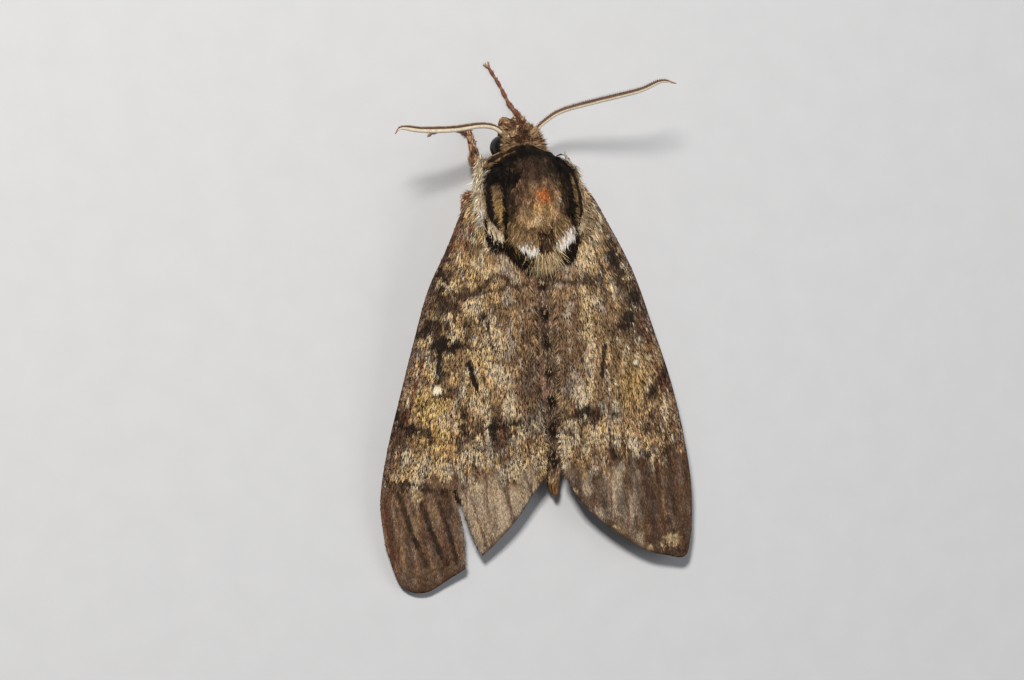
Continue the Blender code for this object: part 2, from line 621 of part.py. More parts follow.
def thorax():
    made = new_object("thorax", body_piece(NECK_Y - GAP / 2, WAIST_Y + GAP / 2, THORAX_RINGS), FINISH["fur"])
    chance = random.Random(7)
    back = Vector((0, -1, 0))
    pieces = [tegula(1), tegula(-1)]
    for degrees in COLLAR_DEGREES:
        length = chance.uniform(1.5, 1.9)
        pieces.append(body_lock(COLLAR_Y, degrees, back, length, COLLAR_LOCK_WIDTH, 0.3, 0.2))
    for side in (-1, 1):
        mirror = Vector((side, 1, 1))
        for n in range(3):
            root = (FLAP_END + FLAP_END_STEP * n) * mirror
            flow = Vector((0.12 * n * side, -1, -0.02))
            up = Vector((0.5 * side, 0, 1))
            pieces.append(lock(root, flow, up, chance.uniform(2.0, 2.5), BRUSH_LOCK_WIDTH, 0.12))
        for y, tilt in FLANK_LOCKS:
            degrees = 90 + side * (tilt - 90)
            length = chance.uniform(1.1, 1.4)
            flow = (0.6 * side, -1, -0.1)
            pieces.append(body_lock(y, degrees, flow, length, FLANK_LOCK_WIDTH, 0.2, 0.35))
        for n in range(4):
            root = (BRUSH_ROOT + BRUSH_STEP * n) * mirror
            flow = Vector(((0.05 + 0.06 * n) * side, -1, -0.12))
            up = Vector((0, 0.2, 1))
            pieces.append(lock(root, flow, up, chance.uniform(3.0, 3.5), BRUSH_LOCK_WIDTH, 0.08))
    for n in range(FAN_LOCKS):
        x = (n - FAN_LOCKS // 2) * FAN_STEP
        flow = Vector((x * 0.15, -1, -0.03))
        root = FAN_ROOT + Vector((x, 0, 0))
        up = Vector((0, 0.1, 1))
        pieces.append(lock(root, flow, up, chance.uniform(4.4, 5.0), FAN_LOCK_WIDTH, 0.04))
    fuse(made, pieces)
    for side in (1, -1):
        cut_clear(made, eye_ball("socket", side, GAP))
    return made


def abdomen():
    """Segments, each a little wider at its hind edge than the next one's front edge, and the tail's tuft."""
    front, length = WAIST_Y - GAP / 2, (WAIST_Y - TAIL_Y) / ABDOMEN_SEGMENTS
    rings = []
    for n in range(ABDOMEN_SEGMENTS):
        for share, shrink in ((0.03, 1), (0.5, 0.3), (0.97, 0)):
            y = front - (n + share) * length
            scale = 1 - ABDOMEN_STEP * shrink
            rings.append([body_point(y, 2 * math.pi * k / BODY_SIDES, 0, scale) for k in range(BODY_SIDES)])
    rings[0] = [body_point(front, 2 * math.pi * k / BODY_SIDES) for k in range(BODY_SIDES)]
    made = new_object("abdomen", skin(rings), FINISH["fur"])
    chance = random.Random(11)
    pieces = []
    for n in range(TAIL_LOCKS):
        angle = 2 * math.pi * n / TAIL_LOCKS
        out = Vector((math.cos(angle), 0, math.sin(angle)))
        root = Vector((0.35 * out.x, TAIL_LOCK_Y, TAIL_LOCK_Z + 0.4 * out.z))
        flow = Vector((0.3 * out.x, -1, 0.18 * out.z))
        pieces.append(lock(root, flow, out, chance.uniform(2.0, 2.5), TAIL_LOCK_WIDTH, 0.1))
    fuse(made, pieces)
    return made


def main():
    head()
    thorax()
    abdomen()
    right = wing_edges(RIGHT_COSTA, RIGHT_INNER, RIGHT_MARGIN)
    left = wing_edges(LEFT_COSTA, LEFT_INNER, LEFT_MARGIN)
    forewing("forewing_right", right)
    forewing("forewing_left", left, TEAR)
    hindwing("hindwing_right", right)
    hindwing("hindwing_left", left)
    antenna("antenna_right", ANTENNA_RIGHT)
    antenna("antenna_left", ANTENNA_LEFT)
    for side, word in ((1, "right"), (-1, "left")):
        eye_ball("eye_" + word, side)
        palp("palp_" + word, side)
    for name, plan in LEGS.items():
        leg(name, plan)


for old in list(bpy.data.objects):
    bpy.data.objects.remove(old)

FINISH = {
    "fur": material("brown fur", (0.30, 0.22, 0.15), 0.85),
    "forewing": material("scaled forewing", (0.35, 0.27, 0.17), 0.8),
    "hindwing": material("scaled hindwing", (0.27, 0.22, 0.18), 0.8),
    "leg": material("scaled leg", (0.24, 0.13, 0.08), 0.7),
    "antenna": material("antenna", (0.60, 0.50, 0.40), 0.6),
    "eye": material("compound eye", (0.01, 0.01, 0.01), 0.25),
}

main()
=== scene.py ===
import math
import bpy
import bmesh
import numpy as np
from mathutils import Matrix, Vector
from mathutils.kdtree import KDTree


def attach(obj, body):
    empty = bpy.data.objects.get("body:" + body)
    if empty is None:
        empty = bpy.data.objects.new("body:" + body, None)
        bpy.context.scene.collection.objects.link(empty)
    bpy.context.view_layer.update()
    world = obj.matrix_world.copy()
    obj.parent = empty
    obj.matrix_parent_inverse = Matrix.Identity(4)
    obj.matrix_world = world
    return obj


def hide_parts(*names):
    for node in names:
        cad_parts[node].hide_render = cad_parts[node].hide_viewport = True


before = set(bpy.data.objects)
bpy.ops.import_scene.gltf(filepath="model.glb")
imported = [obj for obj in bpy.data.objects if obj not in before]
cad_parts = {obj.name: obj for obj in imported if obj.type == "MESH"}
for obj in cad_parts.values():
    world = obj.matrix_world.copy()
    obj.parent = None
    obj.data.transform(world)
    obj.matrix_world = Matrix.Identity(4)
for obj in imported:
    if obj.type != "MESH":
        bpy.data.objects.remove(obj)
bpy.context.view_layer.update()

# The camera looks down on the moth, leaning a little to its left side and turned on its own axis,
# as the photograph was taken. A floor of plain matt card lies under the feet. A small lamp stands
# ahead and to the left, and a broader, weaker one fills the right side.
LEAN = math.radians(18.0)
ROLL = math.radians(7.44)
CAMERA_DISTANCE = 0.400
SHARP_HEIGHT = 0.005
SENSOR_WIDTH = 36.0
FRAME_WIDTH = 0.1163636
FRAME_SHIFT = -0.0019773
SKY_TINT = (0.93, 0.95, 1.0, 1)
SKY_STRENGTH = 0.16
FLOOR_SIDE = 3.0
CARD_GREY = (0.55, 0.55, 0.56, 1)
CARD_GRAIN = 0.004

back = Vector((-math.sin(LEAN), 0, math.cos(LEAN)))
level = Vector((math.cos(LEAN), 0, math.sin(LEAN)))
across = level * math.cos(ROLL) - Vector((0, 1, 0)) * math.sin(ROLL)
upward = level * math.sin(ROLL) + Vector((0, 1, 0)) * math.cos(ROLL)
lens = bpy.data.cameras.new("view_camera")
lens.sensor_width = SENSOR_WIDTH
lens.lens = SENSOR_WIDTH * (CAMERA_DISTANCE - SHARP_HEIGHT) / FRAME_WIDTH
lens.clip_start = 0.01
camera = bpy.data.objects.new("view_camera", lens)
camera.rotation_euler = Matrix((across, upward, back)).transposed().to_euler()
camera.location = across * FRAME_SHIFT + back * CAMERA_DISTANCE
bpy.context.scene.collection.objects.link(camera)
bpy.context.scene.camera = camera
bpy.context.scene.view_settings.view_transform = "Standard"


def soft_lamp(name, place, side, watts, tint):
    """A square lamp that points at the moth."""
    lamp = bpy.data.lights.new(name, "AREA")
    lamp.shape = "SQUARE"
    lamp.size = side
    lamp.energy = watts
    lamp.color = tint
    hung = bpy.data.objects.new(name, lamp)
    hung.location = place
    hung.rotation_euler = (-Vector(place)).to_track_quat("-Z", "Y").to_euler()
    bpy.context.scene.collection.objects.link(hung)


soft_lamp("key_lamp", place=(-0.16, 0.22, 0.42), side=0.08, watts=2.8, tint=(1.0, 0.98, 0.94))
soft_lamp("fill_lamp", place=(0.30, -0.05, 0.35), side=0.30, watts=0.45, tint=(0.95, 0.97, 1.0))
world = bpy.data.worlds.new("studio")
world.use_nodes = True
world.node_tree.nodes["Background"].inputs["Color"].default_value = SKY_TINT
world.node_tree.nodes["Background"].inputs["Strength"].default_value = SKY_STRENGTH
bpy.context.scene.world = world


def finish(name, rough, gloss):
    """A new Principled material with its node tree, shader and object coordinates."""
    made = bpy.data.materials.new(name)
    made.use_nodes = True
    tree = made.node_tree
    shader = tree.nodes["Principled BSDF"]
    shader.inputs["Roughness"].default_value = rough
    shader.inputs["Specular IOR Level"].default_value = gloss
    place = tree.nodes.new("ShaderNodeTexCoord").outputs["Object"]
    return made, tree, shader, place


def speckle(tree, place, grain):
    """A noise of the given grain in metres, read from object coordinates."""
    noise = tree.nodes.new("ShaderNodeTexNoise")
    noise.inputs["Scale"].default_value = 1 / grain
    tree.links.new(place, noise.inputs["Vector"])
    return noise.outputs["Fac"]


def shaded(tree, shader, colour, noise, dark, light):
    """Sends a colour to the shader, made darker and lighter by a noise."""
    span = tree.nodes.new("ShaderNodeMapRange")
    for socket, value in (("From Min", 0.3), ("From Max", 0.7), ("To Min", dark), ("To Max", light)):
        span.inputs[socket].default_value = value
    tree.links.new(noise, span.inputs["Value"])
    blend = tree.nodes.new("ShaderNodeVectorMath")
    blend.operation = "SCALE"
    tree.links.new(colour, blend.inputs[0])
    tree.links.new(span.outputs["Result"], blend.inputs["Scale"])
    tree.links.new(blend.outputs["Vector"], shader.inputs["Base Color"])


def grainy(name, rough, gloss, colour, grain, dark, light):
    """A finish of one colour with a fine grain."""
    made, tree, shader, place = finish(name, rough, gloss)
    flat = tree.nodes.new("ShaderNodeRGB").outputs[0]
    flat.default_value = colour
    shaded(tree, shader, flat, speckle(tree, place, grain), dark, light)
    return made, tree, shader, place


bpy.ops.mesh.primitive_plane_add(size=FLOOR_SIDE)
floor = bpy.context.object
floor.name = "floor"
card, *_ = grainy("matt_card", 0.9, 0.5, CARD_GREY, CARD_GRAIN, 0.985, 1.015)
floor.data.materials.append(card)

# The forewings are stiff membranes on a fan of veins, thickest along the front edge and covered
# with overlapping scales. They lie roof-wise over the body. Each is hinged to the thorax under its
# shoulder flap. The left one is torn at the hind corner, so that a pale lobe hangs free.
MM = 0.001
RIGHT_FRONT = [
    (4.0, 16.6, 6.9), (6.9, 16.3, 6.6), (9.2, 12.0, 6.3), (11.7, 6.1, 5.7), (13.5, -0.7, 5.0),
    (14.95, -6.6, 4.4), (15.95, -13.0, 3.7), (16.3, -19.0, 3.1), (15.8, -24.3, 2.6)]
RIGHT_END = [
    (15.8, -24.3, 2.6), (14.7, -27.1, 2.45), (12.4, -26.7, 2.7), (9.6, -25.6, 3.05), (5.9, -22.8, 3.6),
    (2.6, -19.4, 4.0), (0.9, -16.3, 4.35)]
RIGHT_BACK = [
    (3.0, 13.0, 7.9), (2.2, 8.6, 8.0), (1.2, 4.2, 7.85), (1.0, -4.0, 6.7), (0.45, -11.0, 5.35),
    (0.9, -16.3, 4.35)]
LEFT_FRONT = [
    (-4.0, 16.8, 6.9), (-7.2, 16.4, 6.6), (-10.3, 11.3, 6.0), (-12.9, 7.0, 5.4), (-15.0, 1.7, 4.6),
    (-17.2, -4.3, 3.7), (-19.3, -10.3, 2.9), (-20.7, -16.0, 2.2), (-20.6, -21.0, 1.5)]
LEFT_END = [
    (-20.6, -21.0, 1.5), (-19.3, -25.6, 1.0), (-16.8, -26.9, 1.05), (-14.0, -25.9, 1.3), (-9.7, -23.7, 2.1),
    (-5.6, -20.4, 3.0), (-2.9, -17.2, 3.7), (-1.4, -15.7, 4.05)]
LEFT_BACK = [
    (-3.0, 13.0, 7.9), (-2.3, 8.6, 8.0), (-1.5, 4.2, 7.85), (-1.7, -4.0, 6.6), (-1.2, -11.0, 5.2),
    (-1.4, -15.7, 4.05)]
LEFT_TEAR = [
    (-12.5, -15.5), (-11.95, -17.8), (-11.65, -20.3), (-11.6, -23.0), (-11.4, -27.5), (-8.0, -27.0),
    (-9.75, -23.6), (-10.6, -21.6), (-11.05, -20.0), (-11.55, -17.9), (-12.15, -15.8)]
# Each vein: its share across the wing at root, cell end and margin, and where it starts and ends
VEINS = [
    (0.10, 0.045, 0.03, 0, 0.72), (0.22, 0.105, 0.07, 0, 0.92), (0.32, 0.18, 0.16, 0.42, 1),
    (0.41, 0.28, 0.27, 0.5, 1), (0.50, 0.38, 0.39, 0.52, 1), (0.58, 0.475, 0.51, 0.48, 1),
    (0.66, 0.57, 0.63, 0, 1), (0.74, 0.67, 0.755, 0.3, 1), (0.87, 0.86, 0.90, 0, 1)]
CELL_END = 0.45
CROWN = 0.7
VEIN_HEIGHT = 0.12
VEIN_HALF_WIDTH = 0.17
VEIN_FADE = 0.06
NARROWEST = 9.0
COAT_DEPTH = 0.10
MEMBRANE = 0.26
WING_ROWS = 200
WING_COLUMNS = 80
WING_WIDTH = 15.0
SKIN_SHADE = 0.8
SCALES = {"upper": 48500, "under": 7000}
SCALE_TURN = 0.16
UNDER_LONGER = 1.6
UNDER_WIDER = 2.0
FRINGE_TUFTS = 2600

INK = (30, 22, 16)
UMBER = (62, 46, 34)
BROWN = (100, 75, 56)
RUSSET = (92, 54, 38)
PLUM = (112, 84, 70)
OLIVE = (120, 94, 60)
TAN = (152, 124, 88)
GOLD = (176, 144, 92)
SAND = (190, 164, 124)
CREAM = (220, 208, 186)
ASH = (178, 168, 152)
BARK = (82, 62, 46)
CLOUD = (66, 49, 37)
DARK_FLECK = (34, 24, 18)
LIGHT_FLECK = (242, 214, 168)
DARK_SUM = 200


def tone(colour):
    """A colour given as a painter's 0 to 255 values, as the linear light that a shader takes."""
    part = np.asarray(colour, float) / 255
    return np.where(part <= 0.04045, part / 12.92, ((part + 0.055) / 1.055) ** 2.4)


def plain(colour, count):
    """One colour for a number of places."""
    return np.repeat(tone(colour)[None], count, 0)


def eased(x):
    """Rises smoothly from 0 to 1 as x does."""
    x = np.clip(x, 0, 1)
    return x * x * (3 - 2 * x)


def unit(vectors):
    return vectors / np.maximum(np.linalg.norm(vectors, axis=-1, keepdims=True), 1e-9)


def smooth_line(points, count=33):
    """A curve through the points, as evenly spread places along it."""
    points = [np.array(p, float) for p in points]
    points = [2 * points[0] - points[1], *points, 2 * points[-1] - points[-2]]
    fine = []
    for a, b, c, d in zip(points, points[1:], points[2:], points[3:]):
        for step in range(16):
            u = step / 16
            fine.append(0.5 * (2 * b + (c - a) * u + (2 * a - 5 * b + 4 * c - d) * u * u
                               + (3 * b - a - 3 * c + d) * u ** 3))
    fine = np.array(fine + [points[-2]])
    run = np.concatenate([[0], np.cumsum(np.linalg.norm(np.diff(fine, axis=0), axis=1))])
    wanted = np.linspace(0, run[-1], count)
    return np.stack([np.interp(wanted, run, fine[:, axis]) for axis in range(fine.shape[1])], 1)


def on_line(line, share):
    """The place at a share of the way along an evenly spread curve."""
    at = np.clip(share, 0, 1) * (len(line) - 1)
    low = np.minimum(at.astype(int), len(line) - 2)
    part = (at - low)[..., None]
    return line[low] * (1 - part) + line[low + 1] * part


def mottle(x, y, grain, seed):
    """Smooth random values from 0 to 1 over a plane, with patches of about one grain."""
    table = np.random.RandomState(seed).rand(64, 64)
    u, v = x / grain + 500.0, y / grain + 500.0
    i, j = np.floor(u).astype(int), np.floor(v).astype(int)
    a, b = eased(u - i), eased(v - j)
    near = table[i % 64, j % 64] * (1 - a) + table[(i + 1) % 64, j % 64] * a
    far = table[i % 64, (j + 1) % 64] * (1 - a) + table[(i + 1) % 64, (j + 1) % 64] * a
    return near * (1 - b) + far * b


def patches(x, y, grain, seed, level, soft):
    """Soft-edged patches where the random values stand over a level."""
    return eased((mottle(x, y, grain, seed) - level) / soft)


def layered(tint, *layers):
    """Lays colours over a tint, one after another, each by its amount from 0 to 1 at every place."""
    for amount, colour in layers:
        amount = np.clip(amount, 0, 1)[:, None]
        tint = tint * (1 - amount) + tone(colour) * amount
    return tint


def dabs(tint, x, y, marks, rag):
    """Ragged spots, each by its centre, half sizes, turn in degrees, colour and strength."""
    edge = (mottle(x, y, 0.45, 11) - 0.5) * rag * 2 + (mottle(x, y, 0.17, 12) - 0.5) * rag * 2
    for cx, cy, long_x, long_y, turn, colour, strength in marks:
        turn = math.radians(turn)
        u = ((x - cx) * math.cos(turn) + (y - cy) * math.sin(turn)) / long_x
        v = ((y - cy) * math.cos(turn) - (x - cx) * math.sin(turn)) / long_y
        tint = layered(tint, (strength * eased((1.25 + edge - np.hypot(u, v)) / 0.5), colour))
    return tint


def from_path(x, y, path):
    """The distance of each place from a drawn path, in the same units."""
    best = np.full(x.shape, 1e9)
    for (ax, ay), (bx, by) in zip(path, path[1:]):
        dx, dy = bx - ax, by - ay
        share = np.clip(((x - ax) * dx + (y - ay) * dy) / (dx * dx + dy * dy), 0, 1)
        best = np.minimum(best, np.hypot(x - ax - share * dx, y - ay - share * dy))
    return best


def strokes(tint, x, y, lines, rag):
    """Lines with ragged sides, each by its path, half width, colour and strength."""
    edge = (mottle(x, y, 0.3, 13) - 0.5) * 2 * rag
    for path, half_width, colour, strength in lines:
        near = from_path(x, y, path) / half_width
        tint = layered(tint, (strength * eased((1.3 + edge - near) / 0.6), colour))
    return tint


def vein_share(vein, s):
    """Where a vein crosses the wing at a share s of its length."""
    root, cell, margin = vein[:3]
    inner = root + (cell - root) * eased(s / CELL_END)
    outer = cell + (margin - cell) * (s - CELL_END) / (1 - CELL_END)
    return np.where(s < CELL_END, inner, outer)


class Wing:
    """The places on one forewing, by the share along it (s) and across it (t)."""

    def __init__(self, front, end, rear):
        self.front, self.end, self.rear = smooth_line(front), smooth_line(end), smooth_line(rear)

    def place(self, s, t, veins=True):
        """Places on the skin's upper side, in millimetres."""
        front, rear = on_line(self.front, s), on_line(self.rear, s)
        rim = on_line(self.end, t)
        share = t[..., None]
        chord = self.front[-1] * (1 - share) + self.rear[-1] * share
        made = front * (1 - share) + rear * share + (rim - chord) * s[..., None] ** 3
        made[..., 2] += CROWN * np.sin(math.pi * t) * np.sin(math.pi * (0.15 + 0.75 * s)) - COAT_DEPTH
        if veins:
            made[..., 2] += self.ridge(s, t)
        return made

    def ridge(self, s, t):
        """The height of the veins over the membrane."""
        wide = np.linalg.norm(on_line(self.front, s) - on_line(self.rear, s), axis=-1)
        height = np.zeros(s.shape)
        for vein in VEINS:
            off = np.abs(t - vein_share(vein, s)) * np.maximum(wide, NARROWEST) / VEIN_HALF_WIDTH
            length = eased((s - vein[3]) / VEIN_FADE) * eased((vein[4] - s) / VEIN_FADE)
            height = np.maximum(height, VEIN_HEIGHT * length * eased(1.15 - off))
        return height


# Marks on the left forewing, in millimetres from above, as dabs and strokes take them
LEFT_SPOTS = [
    (-9.2, 12.6, 1.0, 2.0, -32, RUSSET, 0.55), (-10.3, 11.0, 0.4, 0.7, 0, UMBER, 0.8),
    (-11.0, 8.7, 0.45, 0.9, 10, INK, 0.85), (-11.7, 6.6, 0.55, 0.8, 0, INK, 0.8),
    (-11.2, 5.4, 0.45, 0.8, 0, UMBER, 0.8), (-10.2, 5.0, 0.4, 0.5, 0, UMBER, 0.7),
    (-13.3, 3.0, 0.4, 1.0, -20, INK, 0.8), (-14.2, 1.4, 0.5, 0.5, 0, SAND, 0.6),
    (-8.1, 4.7, 1.0, 0.8, 0, CREAM, 0.5), (-7.25, 3.45, 0.38, 0.55, 0, INK, 0.95),
    (-6.3, 0.9, 0.9, 2.4, 8, CREAM, 0.35), (-11.0, 1.5, 0.6, 0.45, 20, CREAM, 0.7),
    (-12.0, 1.2, 0.8, 0.9, 0, INK, 1.0), (-11.3, 0.4, 1.1, 0.4, 0, INK, 0.95),
    (-10.4, 0.8, 0.4, 0.45, 0, INK, 0.85), (-13.2, -0.6, 0.4, 0.4, 0, UMBER, 0.7),
    (-12.9, -3.2, 0.6, 0.3, 0, UMBER, 0.7), (-6.6, -2.6, 0.9, 0.7, 0, CREAM, 0.45),
    (-9.8, 3.2, 0.5, 1.1, 0, UMBER, 0.4), (-9.0, 1.8, 0.4, 0.9, 0, UMBER, 0.45),
    (-14.3, -6.0, 2.1, 1.7, 0, GOLD, 0.85), (-13.8, -9.8, 1.9, 1.9, 0, GOLD, 0.65),
    (-11.9, 5.4, 1.1, 1.8, 0, UMBER, 0.5), (-13.0, 0.9, 0.6, 0.55, 0, INK, 0.8),
    (-12.6, 2.1, 0.6, 0.6, 0, UMBER, 0.8), (-9.3, 6.2, 0.8, 0.5, 0, UMBER, 0.6),
    (-12.2, -4.9, 0.6, 0.22, 0, INK, 0.8), (-17.4, -6.7, 1.2, 0.95, 0, INK, 0.9),
    (-16.3, -8.1, 1.0, 0.5, -20, INK, 0.85), (-15.1, -8.6, 0.8, 0.45, -20, INK, 0.8),
    (-14.4, -9.5, 0.4, 0.55, 0, INK, 0.75), (-17.6, -9.4, 0.6, 1.0, 0, UMBER, 0.8),
    (-16.0, -10.6, 0.6, 0.4, 0, UMBER, 0.6), (-18.4, -11.8, 0.5, 0.9, 0, UMBER, 0.5),
    (-17.1, -11.3, 0.5, 0.8, 0, CREAM, 0.65), (-15.1, -12.3, 0.6, 0.7, 0, ASH, 0.6),
    (-12.7, -13.2, 0.7, 0.9, 0, CREAM, 0.6), (-13.6, -12.3, 0.5, 0.6, 0, SAND, 0.5),
    (-16.2, -12.9, 0.6, 0.8, 0, TAN, 0.6), (-10.7, -8.0, 0.3, 0.8, 0, INK, 0.9),
    (-10.3, -9.8, 0.3, 1.1, 0, INK, 0.95), (-11.3, -10.6, 0.3, 0.7, 0, UMBER, 0.6),
    (-8.0, -9.3, 0.35, 1.8, 0, CREAM, 0.75), (-8.7, -7.0, 0.4, 0.8, 0, CREAM, 0.55),
    (-5.2, -7.0, 0.6, 1.3, 0, CREAM, 0.85), (-9.5, -12.0, 0.7, 0.9, 0, ASH, 0.6),
    (-10.8, -13.0, 0.5, 0.8, 0, SAND, 0.5), (-7.0, -9.2, 1.2, 0.55, 0, INK, 0.95),
    (-7.3, -10.4, 0.32, 0.9, 0, INK, 0.85), (-6.2, -9.7, 0.5, 0.4, 0, UMBER, 0.8),
    (-4.6, -8.9, 0.6, 0.35, 0, INK, 0.8), (-3.8, -10.3, 0.7, 0.5, 0, CREAM, 0.6),
    (-6.3, -11.0, 1.9, 1.4, 0, UMBER, 0.55), (-4.4, -12.4, 1.3, 1.0, 0, BROWN, 0.45),
    (-5.3, -14.4, 1.6, 1.0, 0, ASH, 0.5), (-2.7, -13.6, 0.9, 1.2, 0, ASH, 0.4),
    (-8.4, -14.4, 1.4, 0.8, 0, PLUM, 0.5), (-3.6, -5.6, 1.6, 2.5, 0, BROWN, 0.35),
    # The two long dark strips on the next line, along the inner edge by the body, are painted shade.
    (-2.4, 1.0, 0.9, 5.0, 0, BROWN, 0.5), (-2.5, -6.4, 1.0, 6.0, 0, UMBER, 0.6),
    (-6.0, -3.4, 0.9, 1.6, 20, CREAM, 0.45), (-12.6, 3.6, 0.9, 1.2, 0, INK, 0.4),
    (-12.4, 8.6, 0.6, 1.2, 20, INK, 0.5), (-14.6, 2.4, 0.6, 0.8, 0, INK, 0.6)]
LEFT_OUTER = [
    (-19.4, -13.9, 0.5, 0.5, 0, INK, 0.8), (-17.5, -14.3, 0.7, 0.6, 0, INK, 0.9),
    (-15.6, -14.9, 0.8, 0.7, 0, INK, 0.85), (-14.4, -15.4, 0.5, 0.5, 0, UMBER, 0.8),
    (-13.2, -15.5, 0.7, 0.5, 0, INK, 0.85), (-18.9, -15.6, 0.6, 0.8, 0, TAN, 0.5),
    (-16.7, -15.8, 0.5, 0.9, 0, SAND, 0.45), (-17.0, -19.6, 0.5, 1.9, -8, TAN, 0.5),
    (-14.9, -17.9, 0.35, 1.4, -15, TAN, 0.4), (-13.0, -17.6, 0.5, 1.1, 0, UMBER, 0.6)]
LEFT_LINES = [
    ([(-9.2, 5.9), (-7.7, 6.4), (-6.6, 6.9), (-5.8, 7.9), (-4.9, 8.0), (-4.0, 7.3)], 0.30, UMBER, 0.85),
    ([(-7.6, 6.0), (-6.3, 6.3), (-5.1, 6.1), (-4.2, 6.9), (-3.2, 6.2), (-2.1, 6.7)], 0.26, UMBER, 0.8),
    ([(-7.0, 2.7), (-6.8, 1.2), (-6.6, -0.4)], 0.14, INK, 0.9),
    ([(-12.3, 0.3), (-12.6, -1.0), (-12.7, -2.3)], 0.30, INK, 0.95),
    ([(-9.35, -1.5), (-9.2, -2.8), (-8.75, -4.6)], 0.27, INK, 1.0),
    ([(-7.0, 14.3), (-7.5, 12.9), (-8.3, 11.2)], 0.16, RUSSET, 0.9),
    ([(-14.2, -0.4), (-15.0, -2.5), (-15.9, -4.8), (-17.0, -7.5)], 0.20, RUSSET, 0.85),
    ([(-12.1, -5.5), (-12.0, -9.0), (-12.4, -13.5)], 0.13, RUSSET, 0.6),
    ([(-5.7, -5.0), (-4.0, -5.2), (-4.2, -6.6)], 0.14, BROWN, 0.6),
    ([(-13.6, -4.8), (-14.6, -5.6), (-15.9, -6.5)], 0.16, UMBER, 0.75),
    ([(-12.4, -2.3), (-12.8, -3.2), (-13.3, -3.5)], 0.2, INK, 0.8),
    ([(-14.0, 4.9), (-12.8, 3.4), (-12.2, 1.9)], 0.26, UMBER, 0.7),
    ([(-16.8, -10.0), (-15.6, -10.0), (-14.3, -11.0), (-13.0, -10.8)], 0.14, BROWN, 0.6),
    ([(-18.6, -15.0), (-18.2, -17.0), (-17.6, -19.5), (-17.1, -21.4)], 0.28, INK, 0.75),
    ([(-17.2, -20.6), (-16.7, -22.2), (-16.3, -23.8)], 0.32, INK, 0.75),
    ([(-16.2, -16.6), (-15.4, -19.4), (-14.5, -22.4), (-13.8, -24.2)], 0.30, INK, 0.8),
    ([(-14.2, -16.6), (-13.5, -19.6), (-12.9, -22.2), (-12.6, -24.0)], 0.26, INK, 0.75),
    ([(-20.2, -15.5), (-20.2, -19.0), (-19.7, -22.5)], 0.15, RUSSET, 0.9),
    ([(-10.9, -13.8), (-10.3, -17.4), (-9.1, -22.4)], 0.12, RUSSET, 0.75),
    ([(-6.7, -15.8), (-6.1, -18.2), (-5.4, -20.2)], 0.10, BROWN, 0.7),
    ([(-4.1, -14.4), (-3.6, -16.0), (-3.2, -17.5)], 0.10, BROWN, 0.7)]
LEFT_EYESPOT = [
    (-13.1, -4.35, 0.72, 0.70, 0, (58, 40, 28), 0.8), (-13.1, -4.2, 0.48, 0.45, 0, (250, 236, 208), 1.0)]
# Marks on the right forewing, in the same order
RIGHT_SPOTS = [
    (9.0, 8.6, 0.7, 1.6, 10, INK, 0.95), (9.6, 6.6, 0.55, 1.1, 0, INK, 0.85),
    (6.2, 6.1, 1.1, 0.6, 0, UMBER, 0.85), (11.3, 3.7, 0.9, 0.8, 0, INK, 0.95),
    (10.2, 1.1, 0.7, 0.9, 0, INK, 0.95), (9.3, 0.3, 0.9, 0.45, 0, INK, 0.9),
    (12.0, 0.9, 0.7, 0.8, 0, UMBER, 0.7), (7.0, 2.5, 0.9, 0.8, 0, RUSSET, 0.35),
    (4.8, 2.0, 0.6, 3.6, 3, SAND, 0.6), (8.8, 3.6, 1.0, 1.2, 0, OLIVE, 0.4),
    (11.6, -0.9, 1.6, 0.8, 0, UMBER, 0.7), (8.5, -2.2, 1.6, 1.6, 0, (110, 88, 60), 0.6),
    (5.6, 9.4, 1.3, 2.2, 0, SAND, 0.5), (9.9, 4.2, 0.7, 1.6, 25, INK, 0.5),
    (10.0, -6.4, 1.9, 2.6, 0, (138, 112, 66), 0.6), (13.2, -3.0, 0.7, 1.6, 15, (120, 98, 62), 0.5),
    (9.0, -10.6, 1.5, 1.5, 0, TAN, 0.5), (3.3, -6.8, 0.9, 1.2, 0, CREAM, 0.85),
    (4.6, -4.0, 0.5, 1.4, 0, CREAM, 0.5), (2.0, -9.9, 0.8, 0.5, 0, CREAM, 0.55),
    (6.5, -10.6, 0.35, 1.1, 0, ASH, 0.7), (9.1, -13.0, 0.7, 1.0, 0, CREAM, 0.9),
    (7.1, -12.4, 0.4, 0.9, 0, ASH, 0.7), (1.1, -12.6, 0.6, 1.3, 0, CREAM, 0.75),
    (4.4, -6.6, 0.35, 1.8, 0, SAND, 0.5), (2.5, -8.9, 0.8, 0.45, 15, INK, 0.9),
    (3.9, -8.6, 0.7, 0.5, -10, INK, 0.85), (4.8, -9.4, 0.5, 0.5, 0, INK, 0.85),
    (6.9, -9.4, 0.5, 0.3, 0, INK, 0.8), (1.3, -10.9, 0.5, 0.4, 0, UMBER, 0.7),
    (12.4, -7.8, 1.2, 0.55, 0, UMBER, 0.8), (12.0, -10.2, 0.4, 0.9, 0, UMBER, 0.8),
    (14.2, -6.4, 0.6, 1.2, 10, UMBER, 0.7), (11.5, -11.7, 0.7, 0.4, 0, UMBER, 0.7),
    (13.8, -9.6, 1.0, 1.0, 0, TAN, 0.4), (6.6, -14.0, 0.4, 0.8, 0, INK, 0.75),
    (9.2, -15.2, 0.8, 0.35, 0, UMBER, 0.8), (4.5, -17.9, 1.1, 0.8, 0, ASH, 0.45),
    (7.0, -18.8, 0.9, 0.9, 0, ASH, 0.4), (2.4, -14.6, 1.4, 1.4, 0, BROWN, 0.5),
    # The last two marks, long dark strips along the inner edge by the body, are painted shade.
    (5.0, -14.6, 1.0, 1.2, 0, BROWN, 0.45), (1.6, 1.0, 0.7, 4.5, 0, BROWN, 0.4),
    (1.6, -6.2, 0.6, 5.0, 0, UMBER, 0.35)]
